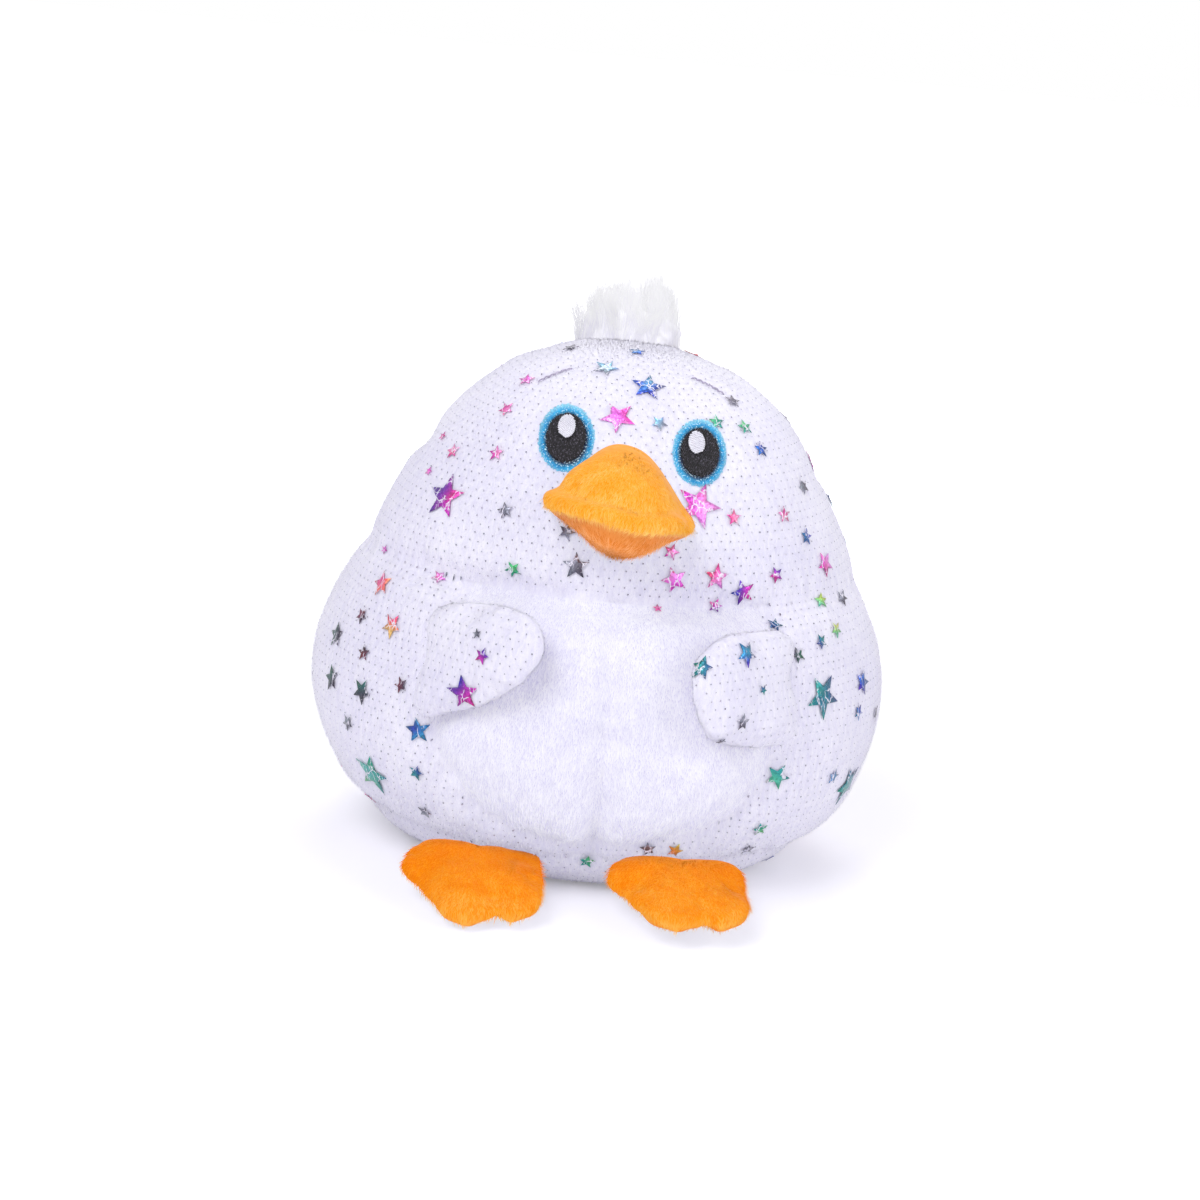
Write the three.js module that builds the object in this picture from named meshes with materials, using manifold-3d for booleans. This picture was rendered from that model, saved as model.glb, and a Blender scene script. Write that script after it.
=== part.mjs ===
// A plush chick: one stuffed pear of sewn cloth panels, with a wide beak, two flippers, two webbed
// feet, embroidered eyes and brows, and a tuft of long fur on the crown.
// Millimetres, +Z up. The face looks along -Y, and left is the chick's own left, along +X.
// The origin is the middle of the flat seat, on the surface that the chick sits on.
import * as THREE from "three";
import { mergeVertices } from "three/addons/utils/BufferGeometryUtils.js";
import Module from "manifold-3d";

const wasm = await Module();
wasm.setup();

// Cloth, thread and clearances
const clothThickness = 1.6;
const threadThickness = 0.8;
const seamGap = 0.3; // between two pieces that are sewn or laid together
const fillingGap = 0.8; // between a pad's filling and its cloths
const seamAllowance = 2; // flat border of a stuffed pad, where its two cloths are sewn

// Body: a pear, turned from its side outline and pressed flatter from front to back
const bodyHeight = 128;
const bodyWidth = 141;
const bodyDepth = 120;
const widestHeight = 42;
const seatWidth = 76;
const seatFlare = 18; // how far the outline runs out from the seat before it turns up
const seatRise = 3;
const flankFullness = 20; // roundness below the widest place
const shoulderFullness = 15; // roundness above the widest place
const neckWidth = 119;
const neckHeight = 75.5;
const shoulderSlope = 29; // degrees from upright, just under the neck crease
const shoulderRun = 10;
const cheekSlope = 21; // degrees from upright, just over the neck crease
const cheekRun = 31;
const crownFullness = 36;
const headLean = 5; // how far the crown leans forward
const bodyFacets = 36;
const outlineSteps = 7;

// Seams that part the body cover into panels
const baseSeamHeight = 10;
const crownSeamSetback = 8; // behind the body's axis
const bellyWidth = 81;
const bellyTopWidth = 68;
const bellyBottom = 15;
const bellyWidestHeight = 46;
const bellyShoulder = 12; // roundness of the belly panel's edge, above and below its widest place
const bellyFlank = 20;
const bellyRound = 24;
const bellyFacets = 10;

// Eyes and brows, embroidered on the face
const eyeSpacing = 32;
const eyeDrop = 17.8; // below the crown
const eyeWidth = 13;
const eyeTallness = 13.6;
const eyeTilt = 11; // degrees, tops towards the middle
const eyeRingWidth = 1.9;
const glintWidth = 4;
const glintTallness = 4.6;
const glintRaise = 2.2; // above the middle of the pupil
const browSpacing = 36.5;
const browSetback = -20;
const browLength = 8;
const browWidth = 1.4;
const browTilt = 10; // degrees in plan, outer ends to the front

// Beak: two orange cloths sewn along the lip, over a filling
const beakDrop = 32.4; // from the crown to the lip's seam on the face
const beakWidth = 34.5;
const beakReach = 25; // from the face to the tip of the lip
const beakUpperSwell = 15;
const beakLowerSwell = 10;
const beakDroop = -4; // degrees that the lip dips to the front, or rises below 0
const beakTilt = 3.5; // degrees that its left corner hangs lower, as it is sewn on
const beakYaw = -12; // degrees that its tip turns, to the chick's right below 0
const beakSquareness = 2.3; // 2 is an ellipse in plan, more is squarer
const beakPinch = 2.6;

// Wings: flippers sewn into the seams between the belly and the sides
const wingRootDrop = 18.5; // from the neck seam to the middle of the root seam
const wingRootWidth = 27;
const wingOuterSwell = 3.6;
const wingInnerSwell = 2;
const wingOpenAngle = 13; // degrees off the belly
const wingPivotLift = 0.6; // root seam line above the cover
const wingPinch = 1.3;
const leftWingLength = 30;
const leftWingTipRise = 2; // above the middle of the root seam
const leftWingTipRadius = 14;
const rightWingLength = 31;
const rightWingTipRise = 9;
const rightWingTipRadius = 9;

// Feet: webbed pads sewn into the base seam
const footSpacing = 48;
const footShift = -3; // of both feet, towards the chick's right, as they are sewn on
const footHeelWidth = 27;
const footTopSwell = 4.6;
const footSoleSwell = 3;
const leftFootDroop = 5; // degrees that the toes dip to the front
const rightFootDroop = 11;
const footPivotLift = 0.6;
const footTurns = [0, -10, -20, 30]; // degrees of flex that the root clears, toes down above 0
const footPinch = 1.2;
const footCrest = 0.32; // where the pad is thickest, as a share of its length
const toeFacets = 3;
const toeArc = 34; // half of each toe's round, degrees
const sideToeAngle = -55; // degrees from straight ahead
const sideToeReach = 21; // from the root seam
const sideToeRadius = 8;
const middleToeAngle = -4;
const middleToeReach = 33;
const middleToeRadius = 8.4;
const outerToeAngle = 20;
const outerToeReach = 32;
const outerToeRadius = 8.4;

// Tuft: locks of long fur on a cloth tab in the crown seam
const tuftWidth = 23;
const tuftTabHeight = 4;
const tuftTabThickness = 1.4;
const tuftLockLength = 15.5;
const tuftLockWidth = 6.4;
const tuftLockTip = 0.8;
const tuftLocks = 11;
const tuftFan = 9; // degrees that the outer locks lean to the sides
const tuftSplay = 15; // degrees that the locks lean forward and back by turns
const tuftLockFacets = 7;
const tuftTurns = [0, -25, 25]; // degrees of sway that the root clears

const padFacets = 5; // points on each curve of a pad's outline
const padRings = 4; // a pad's pinch is 1 for an elliptic section, and more is drawn in at the seam
const eyeFacets = 12;
const reach = 4 * bodyHeight; // longer than anything that a cutter has to pass
const degrees = THREE.MathUtils.degToRad;

const cloth = (colour, roughness) =>
  new THREE.MeshStandardMaterial({ color: colour, roughness, metalness: 0 });
const finishes = {
  starCloth: cloth(0xf1effa, 0.75),
  bellyPlush: cloth(0xf6f5fb, 0.95),
  orangePlush: cloth(0xff9a1c, 0.95),
  blueThread: cloth(0x18a9e6, 0.55),
  blackThread: cloth(0x1a161c, 0.6),
  whiteThread: cloth(0xefeaf6, 0.6),
  lilacThread: cloth(0x9c93b0, 0.6),
  whiteFur: cloth(0xf4f3f8, 0.95),
  fibreFilling: cloth(0xffffff, 1),
};

// Solids

function solidOf(geometry) {
  const bare = new THREE.BufferGeometry();
  bare.setAttribute("position", geometry.getAttribute("position"));
  bare.setIndex(geometry.index);
  const merged = mergeVertices(bare, 1e-4);
  const triVerts = [];
  for (let i = 0; i < merged.index.count; i += 3) {
    const corners = [0, 1, 2].map((k) => merged.index.getX(i + k));
    if (new Set(corners).size === 3) triVerts.push(...corners);
  }
  const vertProperties = merged.getAttribute("position").array;
  return new wasm.Manifold(
    new wasm.Mesh({ numProp: 3, vertProperties, triVerts: new Uint32Array(triVerts) }),
  );
}

function geometryOf(solid) {
  const { vertProperties, triVerts } = solid.getMesh();
  const geometry = new THREE.BufferGeometry();
  geometry.setAttribute("position", new THREE.BufferAttribute(vertProperties, 3));
  geometry.setIndex(new THREE.BufferAttribute(triVerts, 1));
  const faceted = geometry.toNonIndexed();
  faceted.computeVertexNormals();
  return faceted;
}

function piece(name, finish, solid) {
  const mesh = new THREE.Mesh(geometryOf(solid), finishes[finish]);
  mesh.name = name;
  return mesh;
}

// A block between limits, and without end along an axis that has none.
function block({ x = [-reach, reach], y = [-reach, reach], z = [-reach, reach] }) {
  const box = new THREE.BoxGeometry(x[1] - x[0], y[1] - y[0], z[1] - z[0]);
  box.translate((x[0] + x[1]) / 2, (y[0] + y[1]) / 2, (z[0] + z[1]) / 2);
  return solidOf(box);
}

// A shape drawn in X and Z, pushed forward from the body's axis.
function frontPrism(shape, curveSegments) {
  const prism = new THREE.ExtrudeGeometry(shape, {
    depth: reach,
    bevelEnabled: false,
    curveSegments,
  });
  prism.rotateX(Math.PI / 2);
  return solidOf(prism);
}

// Body surface

function bodyOutline() {
  const neck = new THREE.Vector2(neckWidth / 2, neckHeight);
  const under = new THREE.Vector2(Math.sin(degrees(shoulderSlope)), -Math.cos(degrees(shoulderSlope)));
  const over = new THREE.Vector2(-Math.sin(degrees(cheekSlope)), Math.cos(degrees(cheekSlope)));
  const shoulderHandle = neck.clone().addScaledVector(under, shoulderRun);
  const cheekHandle = neck.clone().addScaledVector(over, cheekRun);
  const widest = bodyWidth / 2;
  const seat = seatWidth / 2;
  const path = new THREE.Path();
  path.moveTo(0, 0);
  path.lineTo(seat, 0);
  path.bezierCurveTo(
    seat + seatFlare, seatRise, widest, widestHeight - flankFullness, widest, widestHeight,
  );
  path.bezierCurveTo(
    widest, widestHeight + shoulderFullness, shoulderHandle.x, shoulderHandle.y, neck.x, neck.y,
  );
  path.bezierCurveTo(
    cheekHandle.x, cheekHandle.y, crownFullness, bodyHeight, 0, bodyHeight,
  );
  return path.getPoints(outlineSteps);
}

const outline = bodyOutline();
const depthShare = bodyDepth / bodyWidth;

function leanAt(z) {
  return headLean * THREE.MathUtils.smoothstep(z, widestHeight, bodyHeight);
}

// Half width of the cover at a height, along the outline's chords.
function radiusAt(z) {
  const k = Math.max(2, outline.findIndex((p) => p.y >= z));
  const [low, high] = [outline[k - 1], outline[k]];
  return THREE.MathUtils.mapLinear(z, low.y, high.y, low.x, high.x);
}

// The front of the cover at a place seen from ahead.
function frontAt(x, z) {
  const y = -depthShare * Math.sqrt(radiusAt(z) ** 2 - x ** 2) - leanAt(z);
  return new THREE.Vector3(x, y, z);
}

function outwardAt(x, z) {
  const step = 0.5;
  const across = frontAt(x + step, z).sub(frontAt(x - step, z));
  const up = frontAt(x, z + step).sub(frontAt(x, z - step));
  return across.cross(up).normalize();
}

// The top of the cover over a place in plan, found by halving.
function crownAt(x, y) {
  let [low, high] = [neckHeight, bodyHeight];
  for (let i = 0; i < 30; i += 1) {
    const z = (low + high) / 2;
    const inside = Math.hypot(x, (y + leanAt(z)) / depthShare) < radiusAt(z);
    [low, high] = inside ? [z, high] : [low, z];
  }
  return new THREE.Vector3(x, y, low);
}

// The surface of the whole pear, grown or shrunk from the outside of the cover.
function pearSurface(grow) {
  const points = outline.map((p, i) => {
    const before = outline[Math.max(i - 1, 0)];
    const after = outline[Math.min(i + 1, outline.length - 1)];
    const along = after.clone().sub(before).normalize();
    const onAxis = i === 0 || i === outline.length - 1;
    return new THREE.Vector2(onAxis ? 0 : p.x + grow * along.y, p.y - grow * along.x);
  });
  const turned = new THREE.LatheGeometry(points, bodyFacets);
  turned.rotateX(Math.PI / 2);
  turned.scale(1, depthShare, 1);
  const place = turned.getAttribute("position");
  for (let i = 0; i < place.count; i += 1) {
    place.setY(i, place.getY(i) - leanAt(place.getZ(i)));
  }
  return turned;
}

function pear(grow) {
  return solidOf(pearSurface(grow));
}

// Body cover and filling

function bellyShape(grow) {
  const top = bellyTopWidth / 2 + grow;
  const half = bellyWidth / 2 + grow;
  const bottom = bellyBottom - grow;
  const middle = bellyWidestHeight;
  const shape = new THREE.Shape();
  shape.moveTo(top, bodyHeight);
  shape.lineTo(-top, bodyHeight);
  shape.lineTo(-top, neckHeight);
  shape.bezierCurveTo(-half, neckHeight - bellyShoulder, -half, middle + bellyShoulder, -half, middle);
  shape.bezierCurveTo(-half, middle - bellyFlank, -bellyRound, bottom, 0, bottom);
  shape.bezierCurveTo(bellyRound, bottom, half, middle - bellyFlank, half, middle);
  shape.bezierCurveTo(half, middle + bellyShoulder, half, neckHeight - bellyShoulder, top, neckHeight);
  return shape;
}

// Half width of the belly panel at a height above its widest place.
function bellyEdgeAt(z) {
  const edge = bellyShape(0).getPoints(bodyFacets).filter((p) => p.x > 0).reverse();
  const k = edge.findIndex((p) => p.y <= z);
  return THREE.MathUtils.mapLinear(z, edge[k].y, edge[k - 1].y, edge[k].x, edge[k - 1].x);
}

function bodyPieces() {
  const gap = seamGap / 2;
  const cover = pear(0).subtract(pear(-clothThickness));
  const head = cover.intersect(block({ z: [neckHeight + gap, reach] }));
  const torso = cover.intersect(block({ z: [baseSeamHeight + gap, neckHeight - gap] }));
  const base = cover.intersect(block({ z: [-reach, baseSeamHeight - gap] }));
  const face = head.intersect(block({ y: [-reach, crownSeamSetback - gap] }));
  const nape = head.intersect(block({ y: [crownSeamSetback + gap, reach] }));
  const belly = torso.intersect(frontPrism(bellyShape(-gap), bellyFacets));
  const sides = torso.subtract(frontPrism(bellyShape(gap), bellyFacets));
  const left = block({ x: [gap, reach] });
  const right = block({ x: [-reach, -gap] });
  return [
    piece("face_panel", "starCloth", face),
    piece("head_back_left", "starCloth", nape.intersect(left)),
    piece("head_back_right", "starCloth", nape.intersect(right)),
    piece("belly_left", "bellyPlush", belly.intersect(left)),
    piece("belly_right", "bellyPlush", belly.intersect(right)),
    piece("side_left", "starCloth", sides.intersect(left)),
    piece("side_right", "starCloth", sides.intersect(right)),
    piece("base_panel", "starCloth", base),
    piece("body_filling", "fibreFilling", pear(-clothThickness - seamGap)),
  ];
}

// Eyes and brows: a layer of thread on the face, cut to shape

const threadLayer = pear(seamGap + threadThickness).subtract(pear(seamGap));

function eyePieces(name, side) {
  const tilt = side * degrees(eyeTilt);
  const oval = (grow, width, tallness, raise) => {
    const shape = new THREE.Shape();
    const x = (side * eyeSpacing) / 2 - Math.sin(tilt) * raise;
    const z = bodyHeight - eyeDrop + Math.cos(tilt) * raise;
    shape.absellipse(x, z, width / 2 + grow, tallness / 2 + grow, 0, 2 * Math.PI, false, tilt);
    return frontPrism(shape, eyeFacets);
  };
  const pupil = (grow) => oval(grow - eyeRingWidth, eyeWidth, eyeTallness, 0);
  const glint = (grow) => oval(grow, glintWidth, glintTallness, glintRaise);
  const ring = oval(0, eyeWidth, eyeTallness, 0).subtract(pupil(seamGap));
  return [
    piece(`eye_${name}_ring`, "blueThread", threadLayer.intersect(ring)),
    piece(`eye_${name}_pupil`, "blackThread", threadLayer.intersect(pupil(0).subtract(glint(seamGap)))),
    piece(`eye_${name}_glint`, "whiteThread", threadLayer.intersect(glint(0))),
  ];
}

function browPiece(name, side) {
  const shape = new THREE.Shape();
  const tilt = -side * degrees(browTilt);
  const x = (side * browSpacing) / 2;
  shape.absellipse(x, browSetback, browLength / 2, browWidth / 2, 0, 2 * Math.PI, false, tilt);
  const prism = new THREE.ExtrudeGeometry(shape, {
    depth: reach,
    bevelEnabled: false,
    curveSegments: eyeFacets / 2,
  });
  prism.translate(0, 0, neckHeight);
  return piece(`brow_${name}`, "lilacThread", threadLayer.intersect(solidOf(prism)));
}

// Stuffed pads: two cloths that swell from a flat outline, over a filling

// One side of a pad: a dome over the outline, drawn in at the seam, with a flat underside.
function padSide(points, centre, pinch, swell, facing, lift) {
  const position = [];
  const index = [];
  for (let ring = 0; ring < padRings; ring += 1) {
    const turn = (ring / padRings) * (Math.PI / 2);
    const height = lift + swell * Math.sin(turn) ** pinch;
    for (const p of points) {
      const place = p.clone().sub(centre).multiplyScalar(Math.cos(turn)).add(centre);
      position.push(place.x, place.y, facing * height);
    }
  }
  position.push(centre.x, centre.y, facing * (lift + swell));
  position.push(centre.x, centre.y, facing * lift);
  const count = points.length;
  const top = count * padRings;
  const face = (a, b, c) => index.push(...(facing > 0 ? [a, b, c] : [a, c, b]));
  for (let i = 0; i < count; i += 1) {
    const next = (i + 1) % count;
    for (let ring = 0; ring < padRings - 1; ring += 1) {
      const low = ring * count;
      face(low + i, low + next, low + count + next);
      face(low + i, low + count + next, low + count + i);
    }
    face(top - count + i, top - count + next, top);
    face(next, i, top + 1);
  }
  const geometry = new THREE.BufferGeometry();
  geometry.setAttribute("position", new THREE.Float32BufferAttribute(position, 3));
  geometry.setIndex(index);
  return solidOf(geometry);
}

// An outline, listed anticlockwise, with every edge moved in by the same distance.
function drawnIn(points, distance) {
  const inward = (from, to) => {
    const along = to.clone().sub(from).normalize();
    return new THREE.Vector2(-along.y, along.x);
  };
  return points.map((p, i) => {
    const before = inward(points.at(i - 1), p);
    const after = inward(p, points[(i + 1) % points.length]);
    const corner = before.clone().add(after).divideScalar(1 + before.dot(after));
    return p.clone().addScaledVector(corner, distance);
  });
}

// The two cloths and the filling of a pad that lies in its own X and Y, with swells up and down.
function pad(points, centre, pinch, swellUp, swellDown) {
  const gap = seamGap / 2;
  const dome = (inset, ...rest) => padSide(drawnIn(points, inset), centre, pinch, ...rest);
  const side = (swell, facing) => {
    const hollow = dome(seamAllowance, swell - clothThickness + seamGap, facing, -gap);
    return dome(0, swell, facing, gap).subtract(hollow);
  };
  const half = (swell, facing) =>
    dome(seamAllowance + fillingGap, swell - clothThickness - fillingGap, facing, 0);
  return {
    up: side(swellUp, 1),
    down: side(swellDown, -1),
    filling: half(swellUp, 1).add(half(swellDown, -1)),
  };
}

// Trims a solid, drawn in a group's own frame, clear of the body in each turn about the frame's X.
function clearOfBody(solid, group, turns = [0]) {
  group.updateMatrix();
  const trim = (rest, turn) => {
    const turned = group.matrix.clone().multiply(new THREE.Matrix4().makeRotationX(degrees(turn)));
    return rest.subtract(solidOf(pearSurface(seamGap).applyMatrix4(turned.invert())));
  };
  return turns.reduce(trim, solid);
}

// Beak

function beakGroup() {
  const group = new THREE.Group();
  group.position.copy(frontAt(0, bodyHeight - beakDrop));
  group.rotation.set(degrees(beakDroop), degrees(beakTilt), degrees(beakYaw));
  const points = [];
  const steps = 6 * padFacets;
  for (let i = 0; i < steps; i += 1) {
    const turn = (i / steps) * 2 * Math.PI;
    const squared = (value) => Math.sign(value) * Math.abs(value) ** (2 / beakSquareness);
    const across = (beakWidth / 2) * squared(Math.cos(turn));
    points.push(new THREE.Vector2(across, beakReach * squared(Math.sin(turn))));
  }
  const middle = new THREE.Vector2(0, 0);
  const cloths = pad(points, middle, beakPinch, beakUpperSwell, beakLowerSwell);
  group.add(
    piece("beak_upper", "orangePlush", clearOfBody(cloths.up, group)),
    piece("beak_lower", "orangePlush", clearOfBody(cloths.down, group)),
    piece("beak_filling", "fibreFilling", clearOfBody(cloths.filling, group)),
  );
  return group;
}

// Wings

// The frame of a wing: X runs along the wing from its root, Y up its root seam.
function wingGroup(side) {
  const seamAt = (z) => frontAt(side * bellyEdgeAt(z), z);
  const height = neckHeight - wingRootDrop;
  const low = seamAt(height - wingRootWidth / 2);
  const high = seamAt(height + wingRootWidth / 2);
  const seam = high.clone().sub(low).normalize();
  const middle = seamAt(height);
  const outward = outwardAt(middle.x, middle.z);
  outward.addScaledVector(seam, -outward.dot(seam)).normalize();
  const inward = seam.clone().cross(outward).multiplyScalar(-side);
  const open = degrees(wingOpenAngle);
  const along = inward.multiplyScalar(Math.cos(open)).addScaledVector(outward, Math.sin(open));
  const group = new THREE.Group();
  group.position.copy(middle).addScaledVector(outward, wingPivotLift);
  const basis = new THREE.Matrix4().makeBasis(along, seam, along.clone().cross(seam));
  group.quaternion.setFromRotationMatrix(basis);
  return group;
}

function wingPieces(name, side, length, tipRise, tipRadius) {
  const group = wingGroup(side);
  const half = wingRootWidth / 2;
  const middle = length / 2;
  const path = new THREE.Path();
  path.moveTo(0, -half);
  path.bezierCurveTo(middle, tipRise / 2 - half, length, tipRise - tipRadius, length, tipRise);
  path.bezierCurveTo(length, tipRise + tipRadius, middle, tipRise / 2 + half, 0, half);
  const points = path.getPoints(2 * padFacets);
  const centre = new THREE.Vector2(middle, tipRise / 2);
  // The pad's upper side faces out on the right wing and in on the left one.
  const swells = side > 0 ? [wingInnerSwell, wingOuterSwell] : [wingOuterSwell, wingInnerSwell];
  const cloths = pad(points, centre, wingPinch, ...swells);
  const [outer, inner] = side > 0 ? [cloths.down, cloths.up] : [cloths.up, cloths.down];
  group.add(
    piece(`wing_${name}_outer`, "starCloth", clearOfBody(outer, group)),
    piece(`wing_${name}_inner`, "starCloth", clearOfBody(inner, group)),
    piece(`wing_${name}_filling`, "fibreFilling", clearOfBody(cloths.filling, group)),
  );
  return group;
}

// Feet

function footPoints() {
  const path = new THREE.Path();
  path.moveTo(footHeelWidth / 2, 0);
  path.lineTo(-footHeelWidth / 2, 0);
  const half = degrees(toeArc);
  const toe = (angle, length, radius) => {
    const ahead = degrees(angle);
    const arm = length - radius;
    const facing = ahead - Math.PI / 2;
    path.absarc(
      arm * Math.sin(ahead), -arm * Math.cos(ahead), radius, facing - half, facing + half, false,
    );
  };
  toe(sideToeAngle, sideToeReach, sideToeRadius);
  toe(middleToeAngle, middleToeReach, middleToeRadius);
  toe(outerToeAngle, outerToeReach, outerToeRadius);
  return path.getPoints(toeFacets);
}

function footPieces(name, side, droop) {
  const group = new THREE.Group();
  const x = (side * footSpacing) / 2 + footShift;
  const outward = outwardAt(x, baseSeamHeight);
  group.position.copy(frontAt(x, baseSeamHeight)).addScaledVector(outward, footPivotLift);
  group.rotation.x = degrees(droop);
  const middle = new THREE.Vector2(0, -footCrest * middleToeReach);
  const cloths = pad(footPoints(), middle, footPinch, footTopSwell, footSoleSwell);
  group.add(
    piece(`foot_${name}_top`, "orangePlush", clearOfBody(cloths.up, group, footTurns)),
    piece(`foot_${name}_sole`, "orangePlush", clearOfBody(cloths.down, group, footTurns)),
    piece(`foot_${name}_filling`, "fibreFilling", clearOfBody(cloths.filling, group, footTurns)),
  );
  return group;
}

// Tuft

// A lock of fur: a spindle that is thin at its root and its tip.
function lock(lean, splay, x) {
  const full = tuftLockWidth / 2;
  const curve = new THREE.SplineCurve([
    new THREE.Vector2(tuftTabThickness / 2, 0),
    new THREE.Vector2(full, tuftLockLength / 2),
    new THREE.Vector2(tuftLockTip / 2, tuftLockLength),
  ]);
  const profile = [new THREE.Vector2(0, 0), ...curve.getPoints(padFacets)];
  profile.push(new THREE.Vector2(0, tuftLockLength));
  const spindle = new THREE.LatheGeometry(profile, tuftLockFacets);
  spindle.rotateX(Math.PI / 2);
  spindle.rotateX(splay);
  spindle.rotateY(lean);
  spindle.translate(x, 0, 0);
  return solidOf(spindle);
}

function tuftGroup() {
  const group = new THREE.Group();
  group.position.copy(crownAt(0, crownSeamSetback));
  group.position.z += seamGap;
  const tab = new THREE.BoxGeometry(tuftWidth, tuftTabThickness, 2 * tuftTabHeight);
  let fur = solidOf(tab);
  for (let i = 0; i < tuftLocks; i += 1) {
    const share = (2 * i) / (tuftLocks - 1) - 1;
    const splay = degrees(i % 2 ? tuftSplay : -tuftSplay);
    const inset = tuftWidth / 2 - tuftTabThickness;
    fur = fur.add(lock(share * degrees(tuftFan), splay, share * inset));
  }
  group.add(piece("head_tuft", "whiteFur", clearOfBody(fur, group, tuftTurns)));
  return group;
}

const chick = new THREE.Group();
chick.add(...bodyPieces());
for (const [name, side] of [["left", 1], ["right", -1]]) {
  chick.add(...eyePieces(name, side), browPiece(name, side));
}
chick.add(
  beakGroup(),
  tuftGroup(),
  wingPieces("left", 1, leftWingLength, leftWingTipRise, leftWingTipRadius),
  wingPieces("right", -1, rightWingLength, rightWingTipRise, rightWingTipRadius),
  footPieces("left", 1, leftFootDroop),
  footPieces("right", -1, rightFootDroop),
);

export default chick;
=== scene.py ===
import math

import bmesh
import bpy
import numpy as np
from mathutils import Matrix, Vector
from mathutils.interpolate import poly_3d_calc
from mathutils.bvhtree import BVHTree


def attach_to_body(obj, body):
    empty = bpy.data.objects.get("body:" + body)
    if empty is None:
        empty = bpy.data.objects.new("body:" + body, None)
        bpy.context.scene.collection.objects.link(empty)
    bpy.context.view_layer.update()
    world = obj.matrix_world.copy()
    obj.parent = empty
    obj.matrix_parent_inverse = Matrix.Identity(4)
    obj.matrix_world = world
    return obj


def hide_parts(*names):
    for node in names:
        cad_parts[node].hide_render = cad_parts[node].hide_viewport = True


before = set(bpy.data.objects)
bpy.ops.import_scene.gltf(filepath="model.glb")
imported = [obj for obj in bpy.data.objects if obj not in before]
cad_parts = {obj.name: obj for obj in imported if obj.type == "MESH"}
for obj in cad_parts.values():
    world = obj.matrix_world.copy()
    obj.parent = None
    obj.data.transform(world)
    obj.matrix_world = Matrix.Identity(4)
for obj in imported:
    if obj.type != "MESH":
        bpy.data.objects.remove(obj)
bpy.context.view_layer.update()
mm = 0.001  # sizes below are in millimetres, meshes in metres
rng = np.random.default_rng(21)
scene = bpy.context.scene
scene.view_settings.view_transform = "Standard"
scene.cycles.use_light_tree = False  # it would leave the turned sides of fibres dark

photo = {
    "size": 1200,  # pixels along each side
    "azimuth": -3.0,
    "elevation": 14.0,
    "roll": 5.5,  # the chick leans to the right in the picture
    "distance": 750.0,
    "aimHeight": 64.0,
    "aimPixel": (606, 596),
    "pixelsPerMm": 4.0,  # at the aim point
    "sensor": 36.0,
}


def cameraAxes():
    azimuth, elevation, roll = (math.radians(photo[k]) for k in ("azimuth", "elevation", "roll"))
    flat = math.cos(elevation)
    back = np.array([math.sin(azimuth) * flat, -math.cos(azimuth) * flat, math.sin(elevation)])
    level = np.array([math.cos(azimuth), math.sin(azimuth), 0.0])
    up = np.cross(back, level)
    right = level * math.cos(roll) + up * math.sin(roll)
    return right, up * math.cos(roll) - level * math.sin(roll), back


cameraRight, cameraUp, cameraBack = cameraAxes()
middle = photo["size"] / 2
offset = (np.array(photo["aimPixel"]) - middle) / photo["pixelsPerMm"]
eyePoint = np.array([0, 0, photo["aimHeight"]]) + cameraBack * photo["distance"]
eyePoint += cameraUp * offset[1] - cameraRight * offset[0]
focalPixels = photo["distance"] * photo["pixelsPerMm"]


def pixelRay(x, y):  # from the lens through a pixel of the photograph
    ray = cameraRight * (x - middle) - cameraUp * (y - middle) - cameraBack * focalPixels
    return Vector(eyePoint), Vector(ray).normalized()


def unit(v):
    return v / np.maximum(np.linalg.norm(v, axis=-1, keepdims=True), 1e-9)


def smoothStep(value):
    t = np.clip(value, 0, 1)
    return t * t * (3 - 2 * t)


def hump(distance, width):
    return np.exp(-((distance / width) ** 2))


def bezier(a, b, c, d, count):
    t = np.linspace(0, 1, count)[:, None]
    a, b, c, d = (np.array(p, float) for p in (a, b, c, d))
    return a * (1 - t) ** 3 + 3 * b * t * (1 - t) ** 2 + 3 * c * t * t * (1 - t) + d * t**3


def lengthAlong(points):
    steps = np.linalg.norm(np.diff(points, axis=0), axis=1)
    return np.concatenate([[0], np.cumsum(steps)])


def evenly(points, count):  # the same line with points at even steps
    along = lengthAlong(points)
    at = np.linspace(0, along[-1], count)
    return np.stack([np.interp(at, along, column) for column in points.T], 1)


def waves(points, height, shortest, longest, count=7):  # soft random unevenness
    total = np.zeros(len(points))
    for _ in range(count):
        way = unit(rng.normal(size=3)) * 2 * math.pi / rng.uniform(shortest, longest)
        total += np.sin(points @ way + rng.uniform(0, 2 * math.pi))
    return total * height / math.sqrt(count)


def ripple(along, pitch):  # uneven folds along a seam, -1 to 1
    turn = 2 * math.pi * along / pitch
    return 0.6 * np.sin(turn + 1.4 * np.sin(turn * 0.27 + 0.6)) + 0.4 * np.sin(turn * 0.61 + 1.9)


def skinMesh(name, points, faces, normals=None):
    mesh = bpy.data.meshes.new(name)
    mesh.from_pydata((np.asarray(points) * mm).tolist(), [], [list(f) for f in faces])
    mesh.shade_smooth()
    if normals is not None:
        mesh.normals_split_custom_set_from_vertices(normals.tolist())
    return mesh


def vectorsOf(items, field="co"):  # one row for each item
    flat = np.empty(len(items) * 3, np.float32)
    items.foreach_get(field, flat)
    return flat.reshape(-1, 3)


def normalsOf(points, faces):
    mesh = skinMesh("probe", points, faces)
    normals = vectorsOf(mesh.vertex_normals, "vector").astype(float)
    bpy.data.meshes.remove(mesh)
    return normals


def attach(mesh, name, values):  # a number or a vector for each point
    values = np.asarray(values, float)
    kind, field = ("FLOAT", "value") if values.ndim == 1 else ("FLOAT_VECTOR", "vector")
    mesh.attributes.new(name, kind, "POINT").data.foreach_set(field, values.ravel())


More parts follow.
